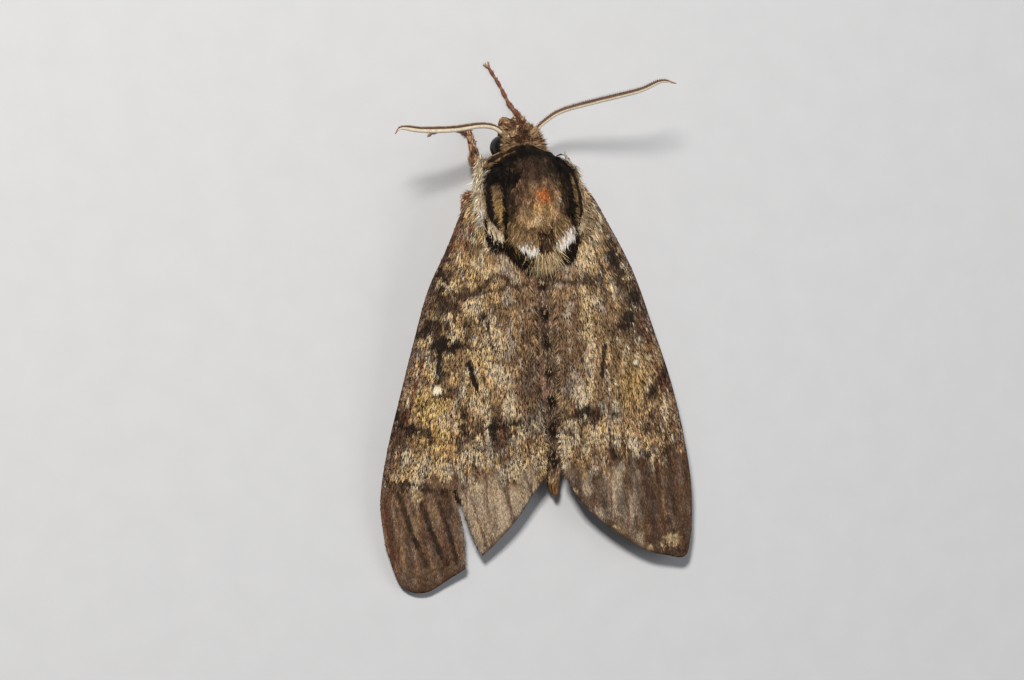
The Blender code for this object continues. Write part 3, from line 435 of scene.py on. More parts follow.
RIGHT_OUTER = [
    (11.1, -14.6, 0.6, 0.45, 0, INK, 0.9), (13.4, -14.3, 0.8, 0.5, 0, INK, 0.9),
    (13.0, -15.3, 0.6, 0.5, 0, UMBER, 0.8), (15.1, -13.6, 0.5, 0.7, 0, UMBER, 0.8),
    (12.4, -20.5, 0.4, 1.7, 10, TAN, 0.35), (10.9, -16.6, 0.4, 0.8, 0, INK, 0.5),
    (13.0, -24.8, 0.95, 0.75, 40, SAND, 0.8), (10.3, -25.4, 0.6, 0.38, 0, SAND, 0.9),
    (8.4, -24.6, 0.5, 0.3, 30, TAN, 0.8), (13.4, -24.0, 0.4, 0.25, 0, INK, 0.8),
    (14.2, -26.3, 0.5, 0.3, 0, INK, 0.8), (12.5, -22.8, 0.4, 0.3, 0, UMBER, 0.8),
    (1.6, -17.7, 0.35, 0.3, 0, SAND, 0.7), (3.3, -20.4, 0.5, 0.22, 40, CREAM, 0.6),
    (5.8, -22.6, 0.5, 0.22, 40, SAND, 0.7)]
RIGHT_LINES = [
    ([(14.9, -4.4), (13.8, -6.0), (12.2, -7.3)], 0.5, INK, 0.85),
    ([(0.3, 6.2), (1.8, 6.6), (3.2, 6.2), (4.6, 5.9), (5.6, 6.4)], 0.28, UMBER, 0.85),
    ([(6.2, 14.0), (6.2, 12.0), (6.7, 9.4), (7.3, 6.8)], 0.14, INK, 0.85),
    ([(7.6, 13.2), (8.4, 11.0), (8.8, 9.4)], 0.12, UMBER, 0.7),
    ([(6.75, -1.4), (6.35, -3.0), (6.0, -5.0)], 0.24, INK, 0.95),
    ([(3.7, -2.6), (4.3, -4.0), (4.5, -4.8)], 0.18, INK, 0.7),
    ([(11.6, 1.2), (12.4, -1.8), (13.2, -4.8), (14.1, -8.0)], 0.18, RUSSET, 0.8),
    ([(6.1, -5.2), (6.6, -7.4), (6.5, -9.4)], 0.12, BROWN, 0.6),
    ([(7.9, -5.0), (7.9, -8.0), (7.8, -12.0)], 0.12, UMBER, 0.5),
    ([(10.4, -15.0), (10.4, -18.5), (10.2, -22.5)], 0.22, UMBER, 0.6),
    ([(11.9, -15.5), (12.1, -18.0), (11.9, -21.5)], 0.26, UMBER, 0.65),
    ([(13.6, -15.5), (13.8, -18.5), (13.8, -22.0)], 0.26, UMBER, 0.6),
    ([(5.6, -15.5), (5.8, -18.0), (6.2, -21.5)], 0.12, BROWN, 0.5),
    ([(3.3, -14.5), (3.4, -16.5), (4.2, -20.0)], 0.12, BROWN, 0.5),
    ([(8.2, -15.8), (8.6, -19.5), (8.9, -23.6)], 0.12, UMBER, 0.5)]
RIGHT_EYESPOT = [
    (10.35, -3.9, 0.72, 0.5, 15, (52, 38, 28), 0.7), (10.4, -3.85, 0.45, 0.3, 15, (236, 222, 194), 0.9)]
# Both forewings share one real colour: the left wing's lighter ground and outer tones are painted light, and
# the right wing's darker ones are painted shade, by how each wing faces the lamp.
WINGS = {
    "left": dict(
        edges=Wing(LEFT_FRONT, LEFT_END, LEFT_BACK), tear=LEFT_TEAR, hand=-1, seed=41,
        ground=(174, 145, 104), outer=(96, 71, 56), outer_y=-13.9, front_x=11.6,
        lobe=(160, 139, 117), lobe_y=-14.9,
        spots=LEFT_SPOTS, eyespot=LEFT_EYESPOT, outer_spots=LEFT_OUTER, lines=LEFT_LINES),
    "right": dict(
        edges=Wing(RIGHT_FRONT, RIGHT_END, RIGHT_BACK), tear=None, hand=1, seed=42,
        ground=(141, 116, 84), outer=(78, 56, 43), outer_y=-14.2, front_x=9.3,
        lobe=(102, 83, 68), lobe_y=-15.6,
        spots=RIGHT_SPOTS, eyespot=RIGHT_EYESPOT, outer_spots=RIGHT_OUTER, lines=RIGHT_LINES)}


def wing_tint(wing, s, t, x, y, salt):
    """The colour of the scales at places on a forewing, with painted shade by the body. Salt is one random
    value a place.
    """
    tint = plain(wing["ground"], len(s)) * np.exp(1.04 * (mottle(x, y * 0.5, 1.4, 21) - 0.55))[:, None]
    tint = layered(
        tint,
        (0.70 * patches(x, y * 0.55, 0.8, 22, 0.52, 0.14), BARK),
        (0.65 * patches(x, y * 0.5, 0.6, 25, 0.58, 0.12), ASH),
        # painted shade: the inner part of the wing, darker towards the inner edge next to the body
        (0.50 * eased((t - 0.45) / 0.3) * eased((0.75 - s) / 0.2), (104, 80, 60)),
        (0.85 * eased((0.07 - t) / 0.025) * eased((0.9 - s) / 0.1), (104, 84, 70)),
        (0.7 * eased((0.018 - t) / 0.012), (70, 50, 40)))
    clouds = [(cx, cy, long_x * 1.5 + 0.35, long_y * 1.4 + 0.3, turn, CLOUD, 0.68 * strength)
              for cx, cy, long_x, long_y, turn, colour, strength in wing["spots"] if sum(colour) < DARK_SUM]
    tint = dabs(tint, x, y, clouds, 0.7)
    tint = dabs(tint, x, y, wing["spots"], 0.5)

    ragged = (mottle(x, y * 0.5, 1.1, 23) - 0.5) * 4.0 + (mottle(x, y, 0.4, 26) - 0.5) * 1.6
    far = eased((wing["outer_y"] - y + ragged) / 1.3)
    front_part = eased((x * wing["hand"] - wing["front_x"]) / 1.4 + 0.5)
    lobe = eased((wing["lobe_y"] - y + ragged * 0.9) / 2.0) * (1 - front_part)
    tint = layered(
        tint,
        (0.88 * far * front_part, wing["outer"]),
        (0.85 * lobe, wing["lobe"]),
        (0.4 * lobe * patches(x, y, 1.6, 27, 0.5, 0.2), (178, 162, 142)))
    streaks = mottle(x * 2.2 + 0.25 * y, y * 0.35, 1.0, 28) - 0.5
    tint = tint * np.exp(1.1 * streaks * far)[:, None]
    tint = dabs(tint, x, y, wing["outer_spots"], 0.6)
    tint = strokes(tint, x, y, wing["lines"], 0.5)
    for vein in VEINS:
        off = np.abs(t - vein_share(vein, s)) * WING_WIDTH
        tint = layered(tint, (0.6 * eased((s - 0.50) / 0.2) * eased(1.3 - off / 0.10), (96, 58, 38)))

    coarse = 1 - 0.55 * np.maximum(far, lobe)
    chance = salt + 0.5 * (mottle(x * 1.4, y * 0.7, 0.16, 24) - 0.5)
    tint = layered(
        tint,
        (0.6 * eased((s - 0.985) / 0.008), (78, 54, 38)),
        (0.88 * coarse * eased((0.42 - chance) / 0.08), DARK_FLECK))
    bright = np.minimum(tint * 2.5, np.maximum(tint, tone(LIGHT_FLECK)))
    tint = tint + (bright - tint) * (coarse * eased((chance - 0.58) / 0.12))[:, None]
    return np.clip(dabs(tint, x, y, wing["eyespot"], 0.12), 0, 1)


def relief(tree, shader, height, depth, strength=1.0):
    """Bump of a depth in metres under the shader's normal."""
    bump = tree.nodes.new("ShaderNodeBump")
    bump.inputs["Distance"].default_value = depth
    bump.inputs["Strength"].default_value = strength
    tree.links.new(height, bump.inputs["Height"])
    tree.links.new(bump.outputs["Normal"], shader.inputs["Normal"])


def painted(name, rough, gloss, grain, dark, light, depth):
    """A finish that takes its colour from the piece's own Tint attribute, with a fine grain."""
    made, tree, shader, place = finish(name, rough, gloss)
    tint = tree.nodes.new("ShaderNodeAttribute")
    tint.attribute_name = "Tint"
    noise = speckle(tree, place, grain)
    shaded(tree, shader, tint.outputs["Color"], noise, dark, light)
    relief(tree, shader, noise, depth)
    return made


def tint_piece(made, tint):
    """Stores one linear colour a vertex as the piece's Tint attribute."""
    layer = made.data.attributes.new("Tint", "FLOAT_COLOR", "POINT")
    solid = np.concatenate([tint, np.ones((len(tint), 1))], 1)
    layer.data.foreach_set("color", solid.astype(np.float32).ravel())


def set_out(name, data, material, smooth):
    """A mesh as an object that rides on the model's one body."""
    data.materials.append(material)
    data.polygons.foreach_set("use_smooth", np.full(len(data.polygons), smooth))
    made = bpy.data.objects.new(name, data)
    bpy.context.scene.collection.objects.link(made)
    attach(made, "root")
    return made


def skin_piece(name, mesh, material):
    """A finished bmesh as a smooth piece."""
    data = bpy.data.meshes.new(name)
    mesh.to_mesh(data)
    mesh.free()
    return set_out(name, data, material, True)


def vertices_of(piece):
    """The places and normals of a piece's vertices, in millimetres."""
    spots, normals = np.empty((2, len(piece.data.vertices) * 3))
    piece.data.vertices.foreach_get("co", spots)
    piece.data.vertices.foreach_get("normal", normals)
    return spots.reshape(-1, 3) / MM, normals.reshape(-1, 3)


def inside(spots, outline):
    """True where a place lies inside a closed outline, seen from above."""
    x, y = spots[:, 0], spots[:, 1]
    found = np.zeros(len(spots), bool)
    for (ax, ay), (bx, by) in zip(outline, outline[1:] + outline[:1]):
        crosses = (ay > y) != (by > y)
        found ^= crosses & (x < (bx - ax) * (y - ay) / (by - ay + 1e-12) + ax)
    return found


def membrane(name, node, rows, columns, where, tear=None):
    """A closed wing sheet from a grid, bent to its places, with its rim and both faces."""
    mesh = bmesh.new()
    bmesh.ops.create_grid(mesh, x_segments=rows, y_segments=columns, size=1.0)
    shares = np.array([v.co[:2] for v in mesh.verts]) / 2 + 0.5
    spots = where(shares[:, 0], shares[:, 1])
    for vert, spot in zip(mesh.verts, spots):
        vert.co = spot * MM
    if tear:
        near = from_path(spots[:, 0], spots[:, 1], tear + tear[:1])
        gone = inside(spots, tear) & (near > 0.09)
        cut = [v for v, lost in zip(mesh.verts, gone) if lost]
        bmesh.ops.delete(mesh, geom=cut, context="VERTS")
    bmesh.ops.recalc_face_normals(mesh, faces=mesh.faces)
    if sum(f.normal.z for f in mesh.faces) < 0:
        bmesh.ops.reverse_faces(mesh, faces=mesh.faces)
    bmesh.ops.solidify(mesh, geom=list(mesh.faces), thickness=MEMBRANE * MM)
    made = skin_piece(name, mesh, scale_skin)
    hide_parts(node)
    return made


def unravel(spots, where, rows, columns):
    """The shares of a sheet's vertices, from the nearest place of the grid that it was bent from."""
    ways = np.meshgrid(np.linspace(0, 1, rows + 1), np.linspace(0, 1, columns + 1), indexing="ij")
    s, t = (way.ravel() for way in ways)
    tree = KDTree(len(s))
    for index, (x, y, z) in enumerate(where(s, t)):
        tree.insert((x, y, 0), index)
    tree.balance()
    found = np.array([tree.find((x, y, 0))[1] for x, y, z in spots])
    return s[found], t[found]


def axes_at(where, s, t, step=0.01):
    """The ways out along a wing, across it and up from it, at places on it."""
    beyond, over = np.minimum(s + step, 1.0), np.minimum(t + step, 1.0)
    along = unit(where(beyond, t) - where(beyond - 2 * step, t))
    beside = unit(where(s, over) - where(s, over - 2 * step))
    up = unit(np.cross(along, beside))
    return along, beside, up * np.sign(up[:, 2:3])


SCALE_SHADES = (0.75, 0.75, 1.0, 1.12)
SCALE_SUNK = 0.02
LOCK_STEPS = ((0.0, 0.75), (0.5, 1.0))
ROOT_SHADE = 0.62
BAKE_PATCH = 0.003
FLOOR_GAP = 0.02


class Tufts:
    """Gathers small closed tufts, each with its own colour and its patch of the OFBake map."""

    def __init__(self):
        self.verts, self.faces, self.tints, self.maps, self.total = [], [], [], [], 0

    def scales(self, root, along, up, length, width, lift, tint, root_map):
        """Pointed scales: a low keel over a narrow base, running out to a tip."""
        side = unit(np.cross(along, up))
        length, width, lift = (np.broadcast_to(v, len(root))[:, None] for v in (length, width, lift))
        low = root - up * SCALE_SUNK
        made = np.stack([low - side * width, low + side * width,
                         root + along * length * 0.3 + up * (width * 0.6 + lift * 0.4),
                         root + along * length + up * lift], 1)
        pattern = [(0, 1, 2), (0, 2, 3), (2, 1, 3), (0, 3, 1)]
        flat = [(0, 0), (1, 0), (0.5, 0.3), (0.5, 1)]
        self.add(made, pattern, flat, tint[:, None] * np.array(SCALE_SHADES)[:, None], root_map)

    def locks(self, root, along, up, length, width, tint, tip, root_map, lift=0.0, bend=0.0):
        """Fine hairs or locks of hairs: three-sided, bending and tapering to a point."""
        side = unit(np.cross(along, up))
        length, width, lift, bend = (np.broadcast_to(v, len(root))[:, None]
                                     for v in (length, width, lift, bend))
        rings, pattern, flat = [], [(0, 1, 2)], []
        for share, girth in LOCK_STEPS:
            middle = root + along * length * share + up * (lift * share - bend * share * share)
            rings += [middle - side * width * girth, middle + side * width * girth,
                      middle + up * width * girth * 0.9]
            flat += [(0, share), (1, share), (0.5, share)]
        rings.append(root + along * length + up * (lift - bend))
        flat.append((0.5, 1))
        last = len(rings) - 4
        for low in range(0, last, 3):
            for a, b in ((0, 1), (1, 2), (2, 0)):
                pattern += [(low + b, low + a, low + 3 + a), (low + b, low + 3 + a, low + 3 + b)]
        pattern += [(last + 1, last, last + 3), (last + 2, last + 1, last + 3), (last, last + 2, last + 3)]
        share = np.array(flat)[None, :, 1:]
        shade = ROOT_SHADE + (1 - ROOT_SHADE) * np.minimum(share / 0.45, 1)
        colours = (tint[:, None] * (1 - share ** 2) + tip[:, None] * share ** 2) * shade
        self.add(np.stack(rings, 1), pattern, flat, colours, root_map)

    def add(self, made, pattern, flat, colours, root_map):
        """Takes in tufts of one pattern, their colours and their patches about the roots' places."""
        n, corners = made.shape[:2]
        numbers = np.array(pattern)[None] + (np.arange(n) * corners)[:, None, None]
        self.verts.append(made.reshape(-1, 3))
        self.faces.append(numbers.reshape(-1, 3) + self.total)
        self.tints.append(np.clip(colours, 0, 1).reshape(-1, 3))
        self.maps.append((root_map[:, None] + (np.array(flat)[None] - 0.5) * BAKE_PATCH).reshape(-1, 2))
        self.total += n * corners

    def piece(self, name, material, slot):
        """All the tufts as one piece."""
        verts, faces = np.concatenate(self.verts) * MM, np.concatenate(self.faces)
        verts[:, 2] = np.maximum(verts[:, 2], FLOOR_GAP * MM)
        data = bpy.data.meshes.new(name)
        data.from_pydata(verts.tolist(), [], faces.tolist())
        chart = data.uv_layers.new(name="OFBake")
        corners = np.concatenate(self.maps)[faces.ravel()]
        chart.data.foreach_set("uv", corners.astype(np.float32).ravel())
        tint_piece(set_out(name, data, material, False), np.concatenate(self.tints))


scale_skin = painted("wing_scale_ground", 0.75, 0.12, 0.00011, 0.72, 1.22, 0.00004)
scale_coat = painted("wing_scale_tufts", 0.6, 0.2, 0.00007, 0.86, 1.1, 0.00001)
for side, wing in WINGS.items():
    where, tear = wing["edges"].place, wing["tear"]
    sheet = membrane(f"forewing_{side}_skin", f"forewing_{side}", WING_ROWS, WING_COLUMNS,
                     where, tear)
    spots, normals = vertices_of(sheet)
    s, t = unravel(spots, where, WING_ROWS, WING_COLUMNS)
    salt = 0.35 + 0.3 * np.random.RandomState(31).rand(len(s))
    tint_piece(sheet, wing_tint(wing, s, t, spots[:, 0], spots[:, 1], salt) * SKIN_SHADE)

    rng = np.random.RandomState(wing["seed"])
    for face, count in SCALES.items():
        s = 1 - 0.995 * (1 - rng.rand(count))
        t = 0.004 + 0.992 * rng.rand(count)
        root = where(s, t)
        along, beside, up = axes_at(where, s, t)
        if face == "under":
            root, up = root - up * MEMBRANE, -up
        turn = rng.normal(0, SCALE_TURN, count)[:, None]
        along = unit(along * np.cos(turn) + beside * np.sin(turn))
        keep = s < 0.992
        if tear:
            keep &= ~(inside(root, tear) | inside(root + along * 0.4, tear))
        tint = wing_tint(wing, s, t, root[:, 0], root[:, 1], rng.rand(count))
        edge = eased((0.04 - t) / 0.02)
        long = (0.36 + 0.22 * rng.rand(count)) * (1 - 0.35 * eased((s - 0.75) / 0.2))
        long *= (1 + 0.9 * eased((0.30 - s) / 0.2)) * (1 - 0.4 * edge)
        wide = 0.055 + 0.03 * rng.rand(count)
        lift = (0.04 + 0.06 * rng.rand(count)) * (1 - 0.6 * edge)
        if face == "under":
            tint = tint * 0.5 + tone(TAN) * 0.5
            long, wide = long * UNDER_LONGER, wide * UNDER_WIDER
        chart = np.stack([s, t], 1) * 0.99 + 0.005
        tufts = Tufts()
        tufts.scales(*(v[keep] for v in (root, along, up, long, wide, lift, tint, chart)))
        tufts.piece(f"forewing_{side}_{face}_scales", scale_coat, "forewing scales")

    rng = np.random.RandomState(45)
    s = 0.03 + 0.95 * rng.rand(FRINGE_TUFTS)
    t = 0.975 + 0.02 * rng.rand(FRINGE_TUFTS)
    root = where(s, t)
    along = axes_at(where, s, t)[0]
    inward = unit(root - where(s, t - 0.02))
    up = unit(np.cross(along, inward))
    up = up * np.sign(up[:, 2:3])
    spread = rng.uniform(0.1, 0.9, (FRINGE_TUFTS, 1))
    flow = unit(along + inward * spread + rng.normal(0, 0.1, (FRINGE_TUFTS, 3)))
    tint = wing_tint(wing, s, t, root[:, 0], root[:, 1], rng.rand(FRINGE_TUFTS))
    long = (0.7 + 0.6 * rng.rand(FRINGE_TUFTS)) * (1 - 0.5 * s)
    fringe = Tufts()
    fringe.locks(root, flow, up, long, 0.05, tint, tint * 1.2, np.stack([s * 0.98 + 0.01, t * 0.98], 1),
                 lift=0.06, bend=0.3)
    fringe.piece(f"forewing_{side}_fringe", scale_coat, "forewing scales")

# The hindwings are smaller, softer sheets of the same make, folded out of sight under the
# forewings. They are greyish brown with two darker bands and a pale inner edge.
HIND_LENGTH = 0.70
HIND_FRONT = 0.20
HIND_BACK = 0.86
HIND_VEINS = (0.12, 0.34, 0.56, 0.78)
HIND_BANDS = (0.48, 0.68)
SOLID_WING = 0.52
GAP = 0.3
HIND_DROP = SOLID_WING + GAP + 2 * VEIN_HALF_WIDTH
HIND_ROWS = 90
HIND_COLUMNS = 40
HIND_SHADE = 0.85
HIND_TUFTS = 3500


class Hindwing:
    """The places on one hindwing, a set depth under the forewing that covers it."""

    def __init__(self, cover):
        self.cover = cover

    def place(self, s, t):
        reach = HIND_LENGTH * (1 - 0.22 * t * t - 0.10 * (1 - t) ** 2)
        share = HIND_FRONT + (HIND_BACK - HIND_FRONT) * t
        made = self.cover.place(0.02 + (reach - 0.02) * s, share, False)
        for vein in HIND_VEINS:
            made[..., 2] += 0.08 * eased(1.3 - np.abs(t - vein) * 60)
        made[..., 2] -= HIND_DROP
        return made


def varied(tint, salt, contrast):
    """Makes each place lighter or darker by its random value."""
    return np.clip(tint * np.exp((salt - 0.5) * contrast)[:, None], 0, 1)


def hind_tint(s, t, salt):
    bands = [(0.7 * eased(1.6 - np.abs(s - band) / 0.035), UMBER) for band in HIND_BANDS]
    tint = layered(plain((128, 112, 96), len(s)), *bands,
                   (0.6 * eased((s - 0.86) / 0.06), (84, 68, 56)), (0.5 * eased((t - 0.8) / 0.15), ASH))
    return varied(tint, salt, 0.8)


for side, wing in WINGS.items():
    where = Hindwing(wing["edges"]).place
    sheet = membrane(f"hindwing_{side}_skin", f"hindwing_{side}", HIND_ROWS, HIND_COLUMNS,
                     where)
    spots, normals = vertices_of(sheet)
    s, t = unravel(spots, where, HIND_ROWS, HIND_COLUMNS)
    rng = np.random.RandomState(51)
    tint_piece(sheet, hind_tint(s, t, rng.rand(len(s))) * HIND_SHADE)
    tufts = Tufts()
    for below in (False, True):
        s, t = 0.05 + 0.93 * rng.rand(HIND_TUFTS), 0.01 + 0.98 * rng.rand(HIND_TUFTS)
        root = where(s, t)
        along, beside, up = axes_at(where, s, t)
        if below:
            root, up = root - up * MEMBRANE, -up
        long = 0.55 + 0.3 * rng.rand(HIND_TUFTS)
        chart = np.stack([s * 0.98 + 0.01, t * 0.48 + 0.5 * below + 0.005], 1)
        tufts.scales(root, along, up, long, 0.11, 0.05, hind_tint(s, t, rng.rand(HIND_TUFTS)), chart)
    tufts.piece(f"hindwing_{side}_scales", scale_coat, "hindwing scales")

# The head, thorax and abdomen are one soft-skinned shell, with the two shoulder flaps and the
# mouth palps grown onto it. It is covered with hair-like scales that lie backwards: short on the
# head, dense and woolly on the thorax, flat on the abdomen, which shows between the wings.
# Each station: its place along the body, half width, lowest and highest point
BODY = [
    (25.2, 0.7, 3.7, 5.1), (24.7, 1.5, 2.9, 5.9), (23.6, 2.1, 2.4, 6.5), (22.4, 2.4, 2.2, 6.9),
    (21.6, 2.8, 2.0, 7.3), (20.7, 4.1, 1.6, 8.5), (19.2, 5.0, 1.3, 9.7), (16.8, 5.6, 1.1, 10.4),
    (14.2, 5.6, 1.0, 10.4), (12.0, 5.0, 1.0, 9.6), (10.4, 4.2, 0.9, 8.5), (9.2, 3.7, 0.7, 7.6),
    (7.0, 3.8, 0.3, 7.3), (4.0, 3.8, 0.0, 6.95), (0.0, 3.6, 0.0, 6.35), (-4.0, 3.2, 0.0, 5.65),
    (-8.0, 2.65, 0.0, 4.9), (-12.0, 2.0, 0.1, 4.05), (-15.0, 1.35, 0.4, 3.3), (-16.6, 0.8, 0.8, 2.7),
    (-17.2, 0.4, 1.2, 2.3)]
ROUNDNESS = 2.2
BODY_RINGS = 150
BODY_SIDES = 80
THINNEST = 0.12
NECK_Y = 21.6
WAIST_Y = 9.2
SEGMENTS = 8
FOLD_DEPTH = 0.14
FOLD_WIDTH = 0.09
# The depth of the coat under which the skin lies, by the place along the body
COAT_PLACES = (-17.2, -14, 8, 10, 13, 19, 21.5, 23, 25.2)
COAT_DEPTHS = (0.12, 0.2, 0.25, 0.5, 0.6, 0.6, 0.45, 0.35, 0.25)
VOXEL = 0.17
SMOOTHINGS = 3
SHOULDER = [(3.2, 20.2, 7.9), (4.35, 17.8, 8.25), (4.8, 14.8, 8.35), (4.7, 12.6, 8.3), (4.6, 11.4, 8.2)]
SHOULDER_WIDTHS = [0.5, 1.35, 1.55, 1.3, 0.6]
SHOULDER_TILT = math.radians(44)
SHOULDER_FLATNESS = 0.34
PALP = [(0.75, 23.8, 2.6), (0.75, 24.8, 2.85), (0.7, 25.15, 3.6), (0.6, 25.05, 4.4)]
PALP_WIDTHS = [0.35, 0.5, 0.5, 0.22]


def closed_tube(mesh, rings):
    """Wraps a grid into a closed tube through rings of places, its end rings drawn into a point."""
    count, sides = rings.shape[:2]
    ends = [np.repeat(rings[k].mean(0)[None], sides, 0)[None] for k in (0, -1)]
    rings = np.concatenate([ends[0], rings, ends[1]])
    rings = np.concatenate([rings, rings[:, :1]], 1)
    made = bmesh.ops.create_grid(mesh, x_segments=count + 1, y_segments=sides, size=1.0)["verts"]
    for vert in made:
        row = round((vert.co.x / 2 + 0.5) * (count + 1))
        column = round((vert.co.y / 2 + 0.5) * sides)
        vert.co = rings[row, column] * MM
    bmesh.ops.remove_doubles(mesh, verts=made, dist=0.000002)
    faces = {f for v in made if v.is_valid for f in v.link_faces}
    bmesh.ops.recalc_face_normals(mesh, faces=list(faces))


def limb(points, widths, sides, steps, flat=1.0, tilt=0.0):
    """Rings round a smooth path. A flat limb is squashed across, and tilt turns it about the path."""
    path = smooth_line(points, steps)
    wide = np.interp(np.linspace(0, 1, steps), np.linspace(0, 1, len(widths)), widths)[:, None, None]
    along = unit(np.gradient(path, axis=0))
    out = unit(np.cross(along, np.array([0.0, 0.0, 1.0])))
    over = np.cross(out, along)
    turn = np.linspace(0, 2 * math.pi, sides, endpoint=False)[None, :, None]
    first = out * math.cos(tilt) + over * math.sin(tilt)
    second = over * math.cos(tilt) - out * math.sin(tilt)
    return path[:, None] + wide * (first[:, None] * np.cos(turn) + flat * second[:, None] * np.sin(turn))


def segment_at(y):
    """How many segments behind the waist a place on the abdomen is."""
    return (WAIST_Y - y) / (WAIST_Y - BODY[-1][0]) * SEGMENTS


def body_rings():
    """Rings of places round the body, drawn in by the depth of the coat and at each fold."""
    turn = np.linspace(0, 2 * math.pi, BODY_SIDES, endpoint=False)
    power = 2 / ROUNDNESS
    side = np.sign(np.cos(turn)) * np.abs(np.cos(turn)) ** power
    rise = np.sign(np.sin(turn)) * np.abs(np.sin(turn)) ** power
    rings = []
    for y, wide, low, high in smooth_line(BODY, BODY_RINGS):
        inset = np.interp(y, COAT_PLACES, COAT_DEPTHS)
        if y < WAIST_Y:
            share = segment_at(y)
            inset += FOLD_DEPTH * math.exp(-((share - round(share)) / FOLD_WIDTH) ** 2)
        wide = max(wide - inset, THINNEST)
        half = max((high - low) / 2 - inset, THINNEST)
        rings.append(np.stack([side * wide, np.full(BODY_SIDES, y), rise * half + (high + low) / 2], 1))
    rings = np.array(rings)
    rings[..., 2] = np.maximum(rings[..., 2], THINNEST)
    return rings


mesh = bmesh.new()
closed_tube(mesh, body_rings())
for hand in (1, -1):
    flip = np.array([hand, 1.0, 1.0])
    closed_tube(mesh, limb(SHOULDER, SHOULDER_WIDTHS, 24, 40, SHOULDER_FLATNESS, SHOULDER_TILT) * flip)
    closed_tube(mesh, limb(PALP, PALP_WIDTHS, 16, 24) * flip)
bmesh.ops.recalc_face_normals(mesh, faces=mesh.faces)
rough_data = bpy.data.meshes.new("body_rough")
mesh.to_mesh(rough_data)
mesh.free()
rough = bpy.data.objects.new("body_rough", rough_data)
bpy.context.scene.collection.objects.link(rough)
fuse = rough.modifiers.new("fuse", "REMESH")
fuse.mode = "VOXEL"
fuse.voxel_size = VOXEL * MM
bpy.context.view_layer.update()
fused = bpy.data.meshes.new_from_object(rough.evaluated_get(bpy.context.evaluated_depsgraph_get()))
mesh = bmesh.new()
mesh.from_mesh(fused)
bpy.data.objects.remove(rough)
for _ in range(SMOOTHINGS):
    bmesh.ops.smooth_vert(mesh, verts=mesh.verts, factor=0.5, use_axis_x=True, use_axis_y=True,
                          use_axis_z=True)
body_skin = painted("body_hide", 0.85, 0.05, 0.00014, 0.7, 1.2, 0.00005)
hide = skin_piece("body_skin", mesh, body_skin)
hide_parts("head", "thorax", "abdomen", "palp_left", "palp_right")

SOOT = (22, 17, 14)
PITCH = (20, 16, 13)
PEAT = (34, 25, 19)
# Marks on the thorax, seen from above: spots, then lines
THORAX_SPOTS = [
    (-0.2, 18.4, 1.9, 1.6, 0, (62, 46, 36), 0.8), (-2.0, 16.6, 1.4, 2.4, 0, (84, 62, 47), 0.8),
    (-3.3, 18.5, 1.7, 1.9, 0, (15, 12, 10), 0.97), (-3.3, 15.2, 0.8, 3.2, 0, (36, 27, 21), 0.8),
    (3.3, 18.2, 1.6, 2.6, 0, (26, 20, 16), 0.9), (3.5, 15.0, 1.3, 2.6, 0, (52, 40, 30), 0.85),
    (0.6, 15.6, 1.9, 2.0, 0, (104, 74, 52), 0.75), (0.6, 14.7, 1.2, 0.9, 0, (146, 112, 68), 0.65),
    (0.72, 15.75, 0.82, 0.9, 0, (158, 90, 46), 0.85), (0.2, 12.8, 2.5, 2.1, 0, (164, 132, 92), 0.75),
    (-0.3, 13.1, 0.9, 0.6, 0, (176, 158, 130), 0.5), (-2.6, 12.4, 0.9, 1.6, 20, (120, 94, 60), 0.6),
    (2.7, 15.2, 0.2, 0.35, 0, CREAM, 0.7), (-4.5, 14.6, 0.5, 2.5, 0, (128, 102, 62), 0.8),
    (4.75, 15.0, 0.35, 2.3, 0, (104, 84, 54), 0.7), (0.2, 11.2, 1.0, 0.6, 0, (70, 52, 40), 0.6)]
THORAX_LINES = [
    ([(-4.6, 19.2), (-3.4, 20.2), (-1.7, 20.9), (0, 21.3), (1.3, 21.3), (2.9, 20.6), (4.3, 19.2)], 0.62,
     SOOT, 0.98),
    ([(-3.9, 20.7), (-2.4, 21.4), (-0.9, 21.8), (0.6, 21.9), (2.0, 21.6)], 0.25, INK, 0.95),
    ([(-4.2, 20.2), (-3.5, 20.6), (-2.9, 20.85)], 0.07, (150, 110, 62), 0.8),
    ([(-2.5, 21.05), (-1.9, 21.25), (-1.3, 21.4)], 0.06, (146, 106, 60), 0.7),
    ([(-3.3, 19.5), (-3.6, 18.0), (-3.75, 16.0), (-3.95, 14.0), (-3.8, 12.4), (-3.9, 10.9)], 0.36, (22, 17,
     14), 0.95),
    ([(-4.5, 19.6), (-5.2, 18.0), (-5.45, 16.0), (-5.4, 14.2), (-4.9, 12.9)], 0.34, PITCH, 0.98),
    ([(3.2, 19.6), (4.0, 18.0), (4.1, 15.5), (3.9, 13.0), (4.1, 11.0)], 0.45, SOOT, 0.95),
    ([(4.4, 19.4), (5.2, 17.6), (5.45, 15.5), (5.4, 13.2), (5.0, 11.9)], 0.36, PITCH, 0.95)]


